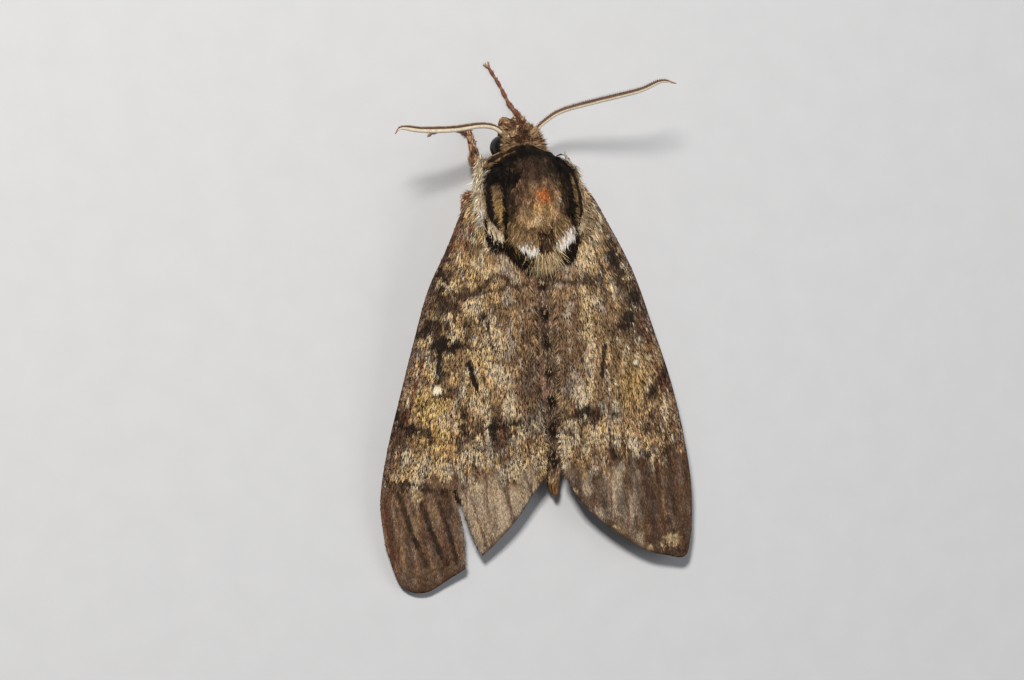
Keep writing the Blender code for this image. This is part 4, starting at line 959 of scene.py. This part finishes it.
def body_tint(x, y, z, steep, salt):
    """The colour of the coat at places on the body, with painted shade down the middle of the abdomen between
    the wings. Steep is the upward part of the normal.
    """
    tint = layered(plain((126, 102, 76), len(x)),
                   (0.9 * eased((y - 17.4) / 1.2) * eased((z - 7.2) / 0.5), PEAT))
    tint = dabs(tint, x, y, THORAX_SPOTS, 0.4)
    tint = strokes(tint, x, y, THORAX_LINES, 0.35)
    wide = np.abs(x)
    flank = np.maximum(eased((7.6 - z) / 0.6) * eased((wide - 4.6) / 0.4), eased((wide - 5.75) / 0.25))
    flank = flank * eased((z - 1.0) / 1.0) * eased((21.0 - y) / 0.6) * eased((y - WAIST_Y) / 0.5)
    head = eased((y - 22.0) / 0.5)
    crown = head * eased(1.2 - np.abs(x - 0.2) / 0.9) * eased(steep)
    rear = eased((WAIST_Y - y) / 0.4)
    # Painted shade: the top of the abdomen darkened down its middle, where it lies between the wings.
    middle = rear * eased(1.3 - np.abs(x - 0.05 * (y < 0)) / 0.75) * eased(steep * 2)
    near = np.abs(segment_at(y) - np.round(segment_at(y)))
    dots = eased(1.7 - np.hypot((x - 0.1) / 0.42, near / 0.2) - 0.9 * (mottle(x, y, 0.35, 67) - 0.5))
    tint = layered(
        tint,
        (0.9 * flank, (170, 146, 116)),
        (0.85 * flank * patches(z, y * 0.6, 0.7, 63, 0.48, 0.12) * (x < 0), (228, 220, 206)),
        (0.85 * eased((-0.35 - steep) / 0.3) * eased((6.5 - z) / 1.0), (196, 180, 154)),
        (head, (86, 63, 45)),
        (0.55 * crown, (70, 44, 31)),
        (0.6 * head * patches(x, y, 0.45, 62, 0.5, 0.15), (172, 142, 108)),
        (0.75 * head * patches(x, y, 0.4, 66, 0.55, 0.12), (48, 32, 23)),
        (rear, (122, 99, 77)),
        (0.5 * rear * patches(x, y * 0.6, 0.9, 64, 0.5, 0.15), (138, 100, 88)),
        (0.8 * middle * (0.5 + 0.5 * mottle(x, y, 0.8, 65)), (70, 58, 50)),
        (0.95 * rear * dots * (steep > 0), INK),
        (0.3 * rear * eased(1.4 - near / 0.06), UMBER),
        (0.8 * rear * eased((-0.2 - steep) / 0.4), (200, 184, 160)),
        (0.8 * eased((-15.2 - y) / 0.8), (150, 120, 86)),
        (0.7 * rear * eased((0.34 - salt) / 0.08), (40, 30, 23)),
        (0.55 * rear * eased((salt - 0.7) / 0.08), (180, 154, 122)))
    streak = mottle(x * 2.4, y * 0.7, 0.9, 61) - 0.5
    contrast = 1.5 + 1.1 * head - 0.4 * rear
    return np.clip(tint * np.exp(contrast * (salt - 0.55) + 1.2 * streak)[:, None], 0, 1)


def scatter(piece, count, rng, weight_at):
    """Seeded random places on a piece and its normals there, more of them where the weight is higher."""
    data = piece.data
    data.calc_loop_triangles()
    numbers = np.empty(len(data.loop_triangles) * 3, int)
    data.loop_triangles.foreach_get("vertices", numbers)
    corners = vertices_of(piece)[0][numbers.reshape(-1, 3)]
    cross = np.cross(corners[:, 1] - corners[:, 0], corners[:, 2] - corners[:, 0])
    normals = unit(cross)
    weight = np.linalg.norm(cross, axis=1) / 2 * weight_at(corners.mean(1), normals)
    picked = rng.choice(len(weight), count, p=weight / weight.sum())
    a, b = rng.rand(count), rng.rand(count)
    over = a + b > 1
    a, b = np.where(over, 1 - a, a), np.where(over, 1 - b, b)
    one, two, three = corners[picked].transpose(1, 0, 2)
    return one + (two - one) * a[:, None] + (three - one) * b[:, None], normals[picked]


def body_unwrap(spots):
    """The body's skin rolled out flat: round it and along it."""
    middle = np.interp(spots[:, 1], [-17, 4, 10, 16, 21, 25], [1.8, 3.5, 4.7, 5.7, 5.0, 4.4])
    around = np.arctan2(spots[:, 2] - middle, spots[:, 0]) / (2 * math.pi)
    return np.stack([(around + 0.25) % 1.0 * 0.98 + 0.01, (spots[:, 1] + 18.5) / 45.0], 1)


def flat_on(flow, normals):
    """A way along the skin, without the part of it that leaves the skin."""
    return flow - normals * (flow * normals).sum(1, keepdims=True)


spots, normals = vertices_of(hide)
tint_piece(hide, body_tint(*spots.T, normals[:, 2], np.full(len(spots), 0.35)))
fur_coat = painted("body_fur", 0.75, 0.08, 0.00012, 0.82, 1.12, 0.00001)


def plant_fur(name, count, seed, where, reach, girth, stand, ruffle):
    """One piece of the coat: where it grows, how long, thick, far off the skin and ruffled it is."""
    rng = np.random.RandomState(seed)
    root, normal = scatter(hide, count, rng, where)
    back = np.stack([root[:, 0] * 0.10, np.full(count, -1.0), np.full(count, -0.25)], 1)
    lie = unit(flat_on(unit(back), normal))
    cross = unit(np.cross(lie, normal))
    waft = mottle(root[:, 0], root[:, 1] * 0.6 + root[:, 2], 0.7, seed) - 0.5
    turn = (rng.normal(0, ruffle, count) + 2 * ruffle * waft)[:, None]
    along = unit(unit(lie * np.cos(turn) + cross * np.sin(turn)) + normal * stand)
    long = reach(root, normal) * (0.7 + 0.6 * rng.rand(count))
    middle = root + along * long[:, None] * 0.5
    tint = body_tint(*middle.T, normal[:, 2], rng.rand(count))
    tufts = Tufts()
    tufts.locks(root - normal * 0.05, along, normal, long, girth * (0.7 + 0.6 * rng.rand(count)),
                tint, tint * 1.25, body_unwrap(root), bend=long * (stand * 0.75))
    tufts.piece(name, fur_coat, "body fur")


def on_thorax(spots):
    return (spots[:, 1] < NECK_Y) & (spots[:, 1] > WAIST_Y)


def thorax_reach(spots, normals):
    """Long at the sides, short on the bald spot of the back, at the neck and below."""
    x, y, z = spots.T
    long = 0.9 + 1.3 * eased((0.3 - normals[:, 2]) / 0.5)
    long *= 1 - 0.45 * eased(1.4 - np.hypot(x - 0.6, y - 15.4))
    return long * (1 - 0.3 * eased((y - 19.5) / 1.5)) * (1 - 0.4 * eased(2 - z))


plant_fur("thorax_fur_top", 18500, 71, lambda p, n: on_thorax(p) * (n[:, 2] > 0.05),
          thorax_reach, girth=0.055, stand=0.40, ruffle=0.42)
plant_fur("thorax_fur_sides", 12600, 72,
          lambda p, n: on_thorax(p) * (n[:, 2] <= 0.05) * (0.4 + (p[:, 2] > 3.5)),
          thorax_reach, girth=0.06, stand=0.75, ruffle=0.35)
plant_fur("head_fur", 14600, 73, lambda p, n: p[:, 1] >= NECK_Y - 0.2,
          lambda p, n: 0.8 - 0.4 * eased((p[:, 1] - 24.2) / 0.7) - 0.25 * eased(-n[:, 2]),
          girth=0.038, stand=0.7, ruffle=0.7)
plant_fur("abdomen_fur", 12500, 74, lambda p, n: (p[:, 1] <= WAIST_Y + 0.3) * (0.25 + eased(n[:, 2] * 2)),
          lambda p, n: 0.62, girth=0.05, stand=0.16, ruffle=0.28)

# Longer brushes of hair close the back of the thorax: black under white on each side, a brown
# eave over both, a tan fan between them, and a cream tip with a black edge on each shoulder flap.
# The tail ends in a narrow tuft. Tufts like brows stand over the eyes.
# Each brush: its line of roots, the lengths along it, its way, dark, light, looseness and number
BRUSHES = [
    ([(-4.1, 11.6, 8.3), (-3.2, 11.0, 8.5), (-2.2, 10.6, 8.6), (-0.9, 10.4, 8.7)], [1.4, 2.4, 2.8, 1.9],
     (0.12, -1, -0.12), PITCH, PEAT, 0.12, 1500),
    ([(-3.4, 10.8, 8.75), (-2.4, 10.4, 8.85), (-1.5, 10.3, 8.85)], [1.3, 1.7, 1.5], (0.3, -1, -0.12), (58,
     46, 26), (140, 110, 62), 0.2, 90),
    ([(-2.9, 11.5, 8.95), (-2.2, 11.15, 9.1), (-1.4, 10.8, 9.15), (-0.6, 10.6, 9.15)], [0.8, 1.25, 1.4,
     1.2], (0.05, -1, -0.15), (214, 198, 178), (255, 252, 246), 0.19, 1300),
    ([(-3.6, 12.6, 8.9), (-2.4, 12.0, 9.25), (-1.2, 11.6, 9.35), (0.4, 11.5, 9.4), (1.8, 11.9, 9.3), (3.3,
     12.8, 8.9)], [1.2, 1.35, 1.35, 1.5, 1.35, 1.2], (0, -1, -0.12), (84, 62, 45), (160, 130, 92), 0.3,
     2600),
    ([(-0.5, 11.3, 9.5), (0.4, 11.2, 9.55), (1.3, 11.5, 9.5)], [1.1, 1.6, 1.1], (0, -1, -0.2), (38, 28,
     22), (82, 60, 44), 0.25, 650),
    ([(4.6, 12.6, 8.1), (4.4, 11.6, 8.15), (3.6, 10.8, 8.4), (2.2, 10.4, 8.6)], [1.4, 2.6, 3.0, 2.0],
     (-0.15, -1, -0.12), PITCH, PEAT, 0.12, 1500),
    ([(3.9, 10.9, 8.4), (3.3, 10.6, 8.6), (2.6, 10.4, 8.75)], [1.4, 1.7, 1.5], (-0.3, -1, -0.12), (58, 46,
     26), (136, 106, 60), 0.2, 70),
    ([(4.4, 12.4, 8.5), (3.6, 11.8, 8.85), (2.6, 11.2, 9.1), (1.5, 10.8, 9.15)], [1.1, 1.3, 1.25, 0.8],
     (-0.1, -1, -0.15), (214, 198, 178), (255, 252, 246), 0.19, 1300),
    ([(-1.5, 10.9, 8.3), (0.3, 10.7, 8.5), (2.0, 10.9, 8.3)], [2.6, 4.2, 2.6], (0, -1, -0.10), (66, 48,
     34), (216, 186, 142), 0.3, 1700),
    ([(-1.7, 10.7, 8.35), (0.3, 10.4, 8.55), (2.2, 10.7, 8.35)], [2.4, 3.8, 2.4], (0, -1, -0.10), (36, 27,
     21), (70, 50, 36), 0.2, 260),
    ([(-6.0, 13.7, 7.9), (-5.45, 12.8, 8.35), (-4.6, 12.3, 8.6)], [2.4, 2.6, 1.7], (0.08, -1, -0.02), (20,
     16, 13), (26, 20, 16), 0.05, 650),
    ([(-5.7, 13.3, 8.1), (-5.2, 12.6, 8.55), (-4.5, 12.3, 8.8)], [1.25, 1.3, 0.8], (0.08, -1, -0.02), (176,
     150, 116), (246, 228, 198), 0.17, 1350),
    ([(5.6, 13.4, 8.0), (5.0, 12.9, 8.35), (4.3, 12.8, 8.5)], [1.5, 1.7, 1.2], (0.0, -1, -0.05), (150, 126,
     94), (214, 196, 166), 0.1, 520),
    ([(-4.9, 20.2, 6.4), (-5.6, 18.6, 6.9), (-6.0, 17.2, 7.1), (-6.1, 16.2, 7.2), (-6.0, 15.3, 7.3)], [1.3,
     1.5, 1.5, 1.2, 0.8], (-0.6, -1, 0.1), (104, 82, 58), (216, 196, 166), 0.42, 2100),
    ([(4.9, 19.4, 6.8), (5.6, 17.8, 7.2), (5.85, 16.2, 7.4), (5.8, 14.8, 7.5)], [0.8, 1.0, 1.0, 0.8], (0.3,
     -1, 0.05), (86, 66, 48), (186, 164, 134), 0.4, 800)]
TAIL_HAIRS = 1500
TAIL_ROOT = np.array([0, -16.0, 1.85])
TAIL_SHADES = [(34, 25, 20), (132, 104, 68), (150, 92, 46)]
TAIL_SHARES = (0.45, 0.85)
BROW = [(1.5, 21.0, 6.2), (1.4, 22.0, 6.15), (1.25, 23.0, 5.9), (1.05, 23.9, 5.4)]
BROW_REACH = {1: (2.0, 1.9, 1.5, 0.9), -1: (1.2, 1.05, 0.9, 0.7)}
BROW_SHADES = [(60, 41, 30), (146, 116, 86)]
BROW_HAIRS = 1300


def mixed(shades, limits, chance):
    """One of the shades for each place, by its random value."""
    return tone(shades)[np.searchsorted(limits, chance, side="right")]


brushes = Tufts()
for number, (roots, lengths, way, dark, light, loose, count) in enumerate(BRUSHES):
    rng = np.random.RandomState(80 + number)
    over = rng.rand(count)
    line = smooth_line(roots, 60)
    root = on_line(line, over) + rng.normal(0, 1, (count, 3)) * np.array([0.1, 0.14 + loose, 0.12])
    splay = 0.16 * (root[:, 0] - line[:, 0].mean()) * (way[0] == 0)
    flow = unit(np.array(way) + np.outer(splay, [1, 0, 0]) + rng.normal(0, 0.06 + 0.6 * loose, (count, 3)))
    reach = np.interp(over, np.linspace(0, 1, len(lengths)), lengths) * (1 - loose * 1.8 * rng.rand(count))
    salt = np.exp((rng.rand(count, 1) - 0.5) * (0.4 if light[0] > 235 else 1.6))
    mix = (rng.rand(count, 1) * loose * 2.5).clip(0, 1)
    low = tone(dark) * (1 - mix) + tone(light) * mix
    rise = np.tile([0.0, 0.15, 1.0], (count, 1))
    brushes.locks(root, flow, rise, reach, 0.05, low * salt, tone(light) * salt, body_unwrap(root),
                  lift=0.12, bend=0.3)
rng = np.random.RandomState(97)
turn = rng.uniform(0, 2 * math.pi, TAIL_HAIRS)
out = np.stack([np.cos(turn), np.zeros(TAIL_HAIRS), np.sin(turn)], 1)
root = TAIL_ROOT + out * 0.75 * rng.rand(TAIL_HAIRS, 1) ** 0.5
root = root + np.array([0, 0.5, 0]) * rng.rand(TAIL_HAIRS, 1)
flow = unit(out * -0.12 + np.array([0, -1.0, 0.0]) + rng.normal(0, 0.05, (TAIL_HAIRS, 3)))
colours = mixed(TAIL_SHADES, TAIL_SHARES, rng.rand(TAIL_HAIRS))
reach = 2.3 * (1 - 0.5 * np.abs(root[:, 0]) / 0.9) * (0.75 + 0.35 * rng.rand(TAIL_HAIRS))
brushes.locks(root, flow, out, reach, 0.045, colours, colours * 1.5, body_unwrap(root))
brushes.piece("body_brushes", fur_coat, "body fur")
brows = Tufts()
for hand in (1, -1):
    rng = np.random.RandomState(99)
    over = rng.rand(BROW_HAIRS)
    arc = smooth_line(BROW, 60)[(over * 59).astype(int)] * np.array([hand, 1, 1])
    root = arc + rng.normal(0, 0.12, (BROW_HAIRS, 3))
    flow = np.stack([np.full(BROW_HAIRS, hand * 1.0), 0.2 + 1.5 * (over - 0.4), np.full(BROW_HAIRS, 0.1)], 1)
    flow = unit(flow + rng.normal(0, 0.28, (BROW_HAIRS, 3)))
    reach = np.interp(over, np.linspace(0, 1, 4), BROW_REACH[hand]) * (0.55 + 0.5 * rng.rand(BROW_HAIRS))
    rise = unit(np.tile([0.3 * hand, 0.0, 1.0], (BROW_HAIRS, 1)))
    colours = mixed(BROW_SHADES, (0.5,), rng.rand(BROW_HAIRS))
    colours = colours * np.exp((rng.rand(BROW_HAIRS, 1) - 0.5) * 0.9)
    brows.locks(root, flow, rise, reach, 0.04, colours, colours * 1.3, body_unwrap(root),
                lift=0.15, bend=0.45)
brows.piece("head_brows", fur_coat, "body fur")

# The compound eyes are glossy black domes of thousands of tiny facets, set in the sides of the
# head and half hidden by its hair.
EYE_RADIUS = 1.38
EYE_STRETCH = (0.98, 1.0, 1.03)
EYE_BLACK = (0.006, 0.005, 0.004, 1)
FACET = 0.00006
FACET_DEPTH = 0.000004

eye_gloss, eye_tree, eye_shader, eye_place = grainy("compound_eye", 0.2, 0.25, EYE_BLACK, 0.0004, 0.5, 1.6)
eye_shader.inputs["Coat Weight"].default_value = 0.12
eye_shader.inputs["Coat Roughness"].default_value = 0.08
cells = eye_tree.nodes.new("ShaderNodeTexVoronoi")
cells.inputs["Scale"].default_value = 1 / FACET
eye_tree.links.new(eye_place, cells.inputs["Vector"])
relief(eye_tree, eye_shader, cells.outputs["Distance"], FACET_DEPTH, 0.5)
for word, centre in (("right", (1.75, 22.1, 4.45)), ("left", (-1.75, 22.1, 4.45))):
    mesh = bmesh.new()
    bmesh.ops.create_icosphere(mesh, subdivisions=5, radius=EYE_RADIUS * MM)
    bmesh.ops.scale(mesh, vec=EYE_STRETCH, verts=mesh.verts)
    bmesh.ops.translate(mesh, vec=Vector(centre) * MM, verts=mesh.verts)
    eye = skin_piece(f"compound_eye_{word}", mesh, eye_gloss)
    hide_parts(f"eye_{word}")

# Each antenna is a whip of some seventy joints on a barrel-shaped first joint. Its outer face wears
# smooth cream scales, and its inner face is bare, brown and toothed with rows of short bristles.
ANTENNAE = {
    "right": [(1.85, 23.45, 6.1), (3.1, 24.45, 6.9), (4.9, 25.3, 7.9), (8.7, 25.85, 10.0), (12.9, 26.35,
     11.9), (15.3, 27.05, 12.8), (17.0, 26.6, 13.1)],
    "left": [(-1.9, 23.5, 6.1), (-3.2, 24.3, 6.9), (-5.2, 24.6, 7.9), (-9.0, 24.4, 9.7), (-13.1, 24.6,
     11.5), (-15.7, 25.0, 12.6), (-16.6, 24.4, 12.9)]}
ANTENNA_RADII = [(0, 0.27), (0.2, 0.30), (0.6, 0.33), (0.85, 0.28), (0.93, 0.19), (1, 0.05)]
ANTENNA_SIDES = 16
TOOTHED_SIDE = {"right": (-0.3, 1.0, 0.35), "left": (-0.2, 1.0, -0.1)}
JOINTS = 72
RINGS = JOINTS * 4
JOINT_GROOVE = 0.14
SCAPE_WIDTHS = [0.24, 0.36, 0.36, 0.27, 0.18]
SCAPE_PLACES = (-1.3, -0.5, 0.3)
SCAPE_HAIRS = 700
BRISTLES_A_JOINT = 9


def antenna_tint(share, facing, salt):
    """Cream scales on the outer face, brown skin on the toothed inner face, rust at the tip."""
    joint = np.abs((share * JOINTS) % 1.0 - 0.5)
    tint = layered(
        plain((240, 224, 196), len(share)),
        (eased((facing + 0.05) / 0.22), (104, 66, 44)),
        (0.9 * eased((facing + 0.1) / 0.3) * eased(1.4 - joint / 0.2), (40, 24, 17)),
        (0.35 * eased(1.3 - joint / 0.15), (150, 116, 86)),
        (0.85 * eased((share - 0.955) / 0.02), (150, 84, 50)))
    return varied(tint, salt, 0.5)


def nearest_on(line, spots):
    """The number of the place on a line that is nearest to each spot."""
    return np.array([np.argmin(((line - spot) ** 2).sum(1)) for spot in spots])


def outward(front, side, angle):
    """The ways out from the whip, by their angles from its toothed side."""
    return unit(front * np.cos(angle)[:, None] + side * np.sin(angle)[:, None])


horn = painted("antenna_scales", 0.5, 0.3, 0.00008, 0.75, 1.15, 0.00002)
for word, path in ANTENNAE.items():
    curve = smooth_line(path, RINGS)
    share = np.linspace(0, 1, RINGS)
    radius = np.interp(share, *zip(*ANTENNA_RADII))
    saw = np.abs((share * JOINTS) % 1.0 - 0.5) * 2
    ahead = unit(np.gradient(curve, axis=0))
    front = unit(np.cross(ahead, np.cross(np.array(TOOTHED_SIDE[word]), ahead)))
    side = np.cross(ahead, front)
    turn = np.linspace(0, 2 * math.pi, ANTENNA_SIDES, endpoint=False)[:, None]
    groove = 1 - JOINT_GROOVE * saw[:, None, None] * (0.5 + 0.9 * (np.cos(turn) > 0.2))
    girth = radius[:, None, None] * groove
    rings = curve[:, None] + girth * (front[:, None] * np.cos(turn) + side[:, None] * np.sin(turn) * 0.85)
    mesh = bmesh.new()
    closed_tube(mesh, rings)
    closed_tube(mesh, limb([curve[0] + ahead[0] * place for place in SCAPE_PLACES], SCAPE_WIDTHS, 18, 24))
    whip = skin_piece(f"antenna_{word}_whip", mesh, horn)
    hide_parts(f"antenna_{word}")
    spots, normals = vertices_of(whip)
    nearest = nearest_on(curve, spots)
    toward = (unit(spots - curve[nearest]) * front[nearest]).sum(1)
    rng = np.random.RandomState(101)
    tint_piece(whip, antenna_tint(nearest / (RINGS - 1), toward, rng.rand(len(spots))))

    count = JOINTS * BRISTLES_A_JOINT
    at = (np.repeat(np.arange(JOINTS), BRISTLES_A_JOINT) + 0.5) / JOINTS * 0.95
    index = (at * (RINGS - 1)).astype(int)
    angle = np.tile(np.linspace(-1.0, 1.0, BRISTLES_A_JOINT), JOINTS) + rng.normal(0, 0.1, count)
    out = outward(front[index], side[index], angle)
    root = curve[index] + out * radius[index][:, None] * 0.9
    hair = Tufts()
    hair.locks(root, unit(out + ahead[index] * 0.45), ahead[index], radius[index] * 0.8, 0.045,
               antenna_tint(at, np.full(count, 1.0), rng.rand(count)) * 0.9, plain((190, 168, 138), count),
               np.stack([at, angle / 7 + 0.5], 1))
    at = rng.rand(SCAPE_HAIRS)
    index = (at * (RINGS - 1) * 0.03).astype(int)
    angle = rng.uniform(0, 2 * math.pi, SCAPE_HAIRS)
    out = outward(front[index], side[index], angle)
    root = curve[0] + ahead[0] * (at[:, None] * 1.2 - 1.0) + out * 0.26
    tint = plain((160, 132, 102), SCAPE_HAIRS) * np.exp((rng.rand(SCAPE_HAIRS) - 0.6) * 1.6)[:, None]
    hair.locks(root, unit(out * 0.35 + ahead[index]), out, 0.55, 0.04, tint, tint * 1.2,
               np.stack([at * 0.03, angle / 7 + 0.05], 1), bend=0.1)
    hair.piece(f"antenna_{word}_bristles", fur_coat, "antenna")

# Six jointed legs carry the moth. Thigh and shin wear long shaggy scales, and the five-jointed
# feet are slim, reddish brown and spiny, each ending in a forked claw that grips the ground.
THIGH_SAG = 0.3
SHIN_RADII = [0.50, 0.60, 0.60, 0.52, 0.42, 0.36, 0.30, 0.27, 0.25, 0.24]
SHIN_STEPS = 60
FOOT_RADIUS = 0.29
FOOT_WAIST = 0.19
FOOT_TIP = 0.12
FOOT_Z = 0.22
FOOT_JOINTS = 5
FOOT_STEPS = 101
# Places on a claw: how far ahead, aside and up each is
CLAW = [(-0.12, 0.05, 0), (0.2475, 0.26, 0.06), (0.44, 0.34, -0.14)]
CLAW_RADII = [0.10, 0.085, 0.02]
LEG_HAIRS = 2300
# How long the hairs are, by their share of the way down, where 1 is the ankle and 2 the claws
HAIR_SHARES = (0, 0.45, 0.6, 1.0, 1.15, 1.4)
HAIR_LENGTHS = (1.1, 1.1, 0.7, 0.6, 0.5, 0.24)
SPINE_LENGTH = 0.5
# Each leg: hip, knee and ankle, then three places along the foot, which lies flat
LEGS = {
    "foreleg_right": [(1.7, 19.6, 2.2), (3.3, 22.4, 1.4), (2.2, 25.3, 1.0), (1.2, 27.3), (0.35, 29.5),
     (-0.75, 31.8)],
    "foreleg_left": [(-1.7, 19.4, 2.2), (-4.45, 20.8, 2.9), (-4.3, 24.5, 1.0), (-5.6, 25.1), (-7.0, 25.2),
     (-8.6, 25.0)],
    "midleg_right": [(2.0, 16.2, 2.0), (5.9, 16.8, 2.7), (8.2, 12.8, 1.0), (9.0, 10.9), (9.6, 9.0), (10.0,
     7.2)],
    "midleg_left": [(-2.0, 16.2, 2.0), (-5.95, 16.9, 2.9), (-6.9, 12.6, 1.0), (-7.8, 10.9), (-8.5, 9.1),
     (-9.1, 7.3)],
    "hindleg_right": [(1.9, 12.4, 1.9), (6.4, 9.2, 2.8), (8.2, 2.6, 1.0), (8.6, 0.4), (8.8, -1.8), (8.9,
     -4.0)],
    "hindleg_left": [(-1.9, 12.4, 1.9), (-6.6, 9.2, 2.8), (-8.8, 2.8, 1.0), (-9.4, 0.7), (-9.8, -1.4),
     (-10.1, -3.5)]}


def leg_tint(share, salt):
    """Tan and grey shaggy scales down to the foot, which is reddish brown with pale joints."""
    foot = eased((share - 0.95) / 0.1)
    joint = np.abs((share - 1) * FOOT_JOINTS - np.round((share - 1) * FOOT_JOINTS))
    tint = layered(
        plain((128, 88, 64), len(share)),
        (0.8 * eased((salt - 0.7) / 0.1), (186, 158, 126)),
        (0.8 * eased((0.25 - salt) / 0.1), (88, 60, 44)),
        (foot, (122, 78, 58)),
        (0.5 * foot * eased(1.3 - joint / 0.08), (178, 142, 112)))
    return varied(tint, salt, 0.7)


leg_skin = painted("leg_hide", 0.6, 0.2, 0.0001, 0.7, 1.2, 0.00003)
for number, (name, plan) in enumerate(LEGS.items()):
    hip, knee, ankle = (np.array(p) for p in plan[:3])
    toes = [np.array([x, y, FOOT_Z]) for x, y in plan[3:]]
    upper = smooth_line([hip, (hip + knee) / 2 - np.array([0, 0, THIGH_SAG]), knee,
                         knee * 0.45 + ankle * 0.55, ankle], SHIN_STEPS)
    lower = smooth_line([ankle, *toes], FOOT_STEPS)
    share = np.linspace(0, 1, FOOT_STEPS)
    wave = np.abs((share * FOOT_JOINTS) % 1.0 - 0.5) * 2
    foot_girth = (FOOT_RADIUS - (FOOT_RADIUS - FOOT_WAIST) * wave) * (1 - (1 - FOOT_TIP / FOOT_WAIST) * share)
    mesh = bmesh.new()
    closed_tube(mesh, limb(upper, SHIN_RADII, 18, SHIN_STEPS))
    foot = limb(lower, foot_girth, 14, FOOT_STEPS)
    foot[..., 2] = np.maximum(foot[..., 2], 0.0)
    closed_tube(mesh, foot)
    ahead = unit(toes[-1] - toes[-2])
    side = np.cross(ahead, np.array([0, 0, 1.0]))
    for way in (-1, 1):
        claw = [toes[-1] + ahead * on + side * out * way + np.array([0, 0, high]) for on, out, high in CLAW]
        closed_tube(mesh, limb(claw, CLAW_RADII, 10, 14))
    leg = skin_piece(f"{name}_skin", mesh, leg_skin)
    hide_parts(name)
    line = np.concatenate([upper, lower])
    shares = np.concatenate([np.linspace(0, 1, SHIN_STEPS), 1 + share])
    spots, normals = vertices_of(leg)
    rng = np.random.RandomState(110 + number)
    tint_piece(leg, leg_tint(shares[nearest_on(line, spots)], 0.35 + 0.3 * rng.rand(len(spots))))

    root, normal = scatter(leg, LEG_HAIRS, rng, lambda p, n: 1.0)
    nearest = nearest_on(line, root)
    share = shares[nearest]
    down = unit(np.gradient(line, axis=0))[nearest]
    flow = unit(flat_on(down, normal) + rng.normal(0, 0.3, (LEG_HAIRS, 3)))
    on_foot = share > 1.0
    stand = np.where(on_foot, 0.25, 0.55)
    long = np.interp(share, HAIR_SHARES, HAIR_LENGTHS) * (0.7 + 0.6 * rng.rand(LEG_HAIRS))
    long = np.where(on_foot & (rng.rand(LEG_HAIRS) < 0.04), SPINE_LENGTH, long)
    tint = leg_tint(share, rng.rand(LEG_HAIRS))
    aside = np.cross(flow, np.array([0, 0, 1.0]))
    around = np.arctan2(normal[:, 2], (normal * aside).sum(1)) / (2 * math.pi) + 0.5
    hair = Tufts()
    hair.locks(root - normal * 0.03, unit(flow + normal * stand[:, None]), normal, long,
               np.where(on_foot, 0.028, 0.06), tint, tint * 1.25,
               np.stack([share * 0.49 + 0.005, around * 0.98 + 0.01], 1), bend=long * stand * 0.7)
    hair.piece(f"{name}_scales", fur_coat, "leg scales")
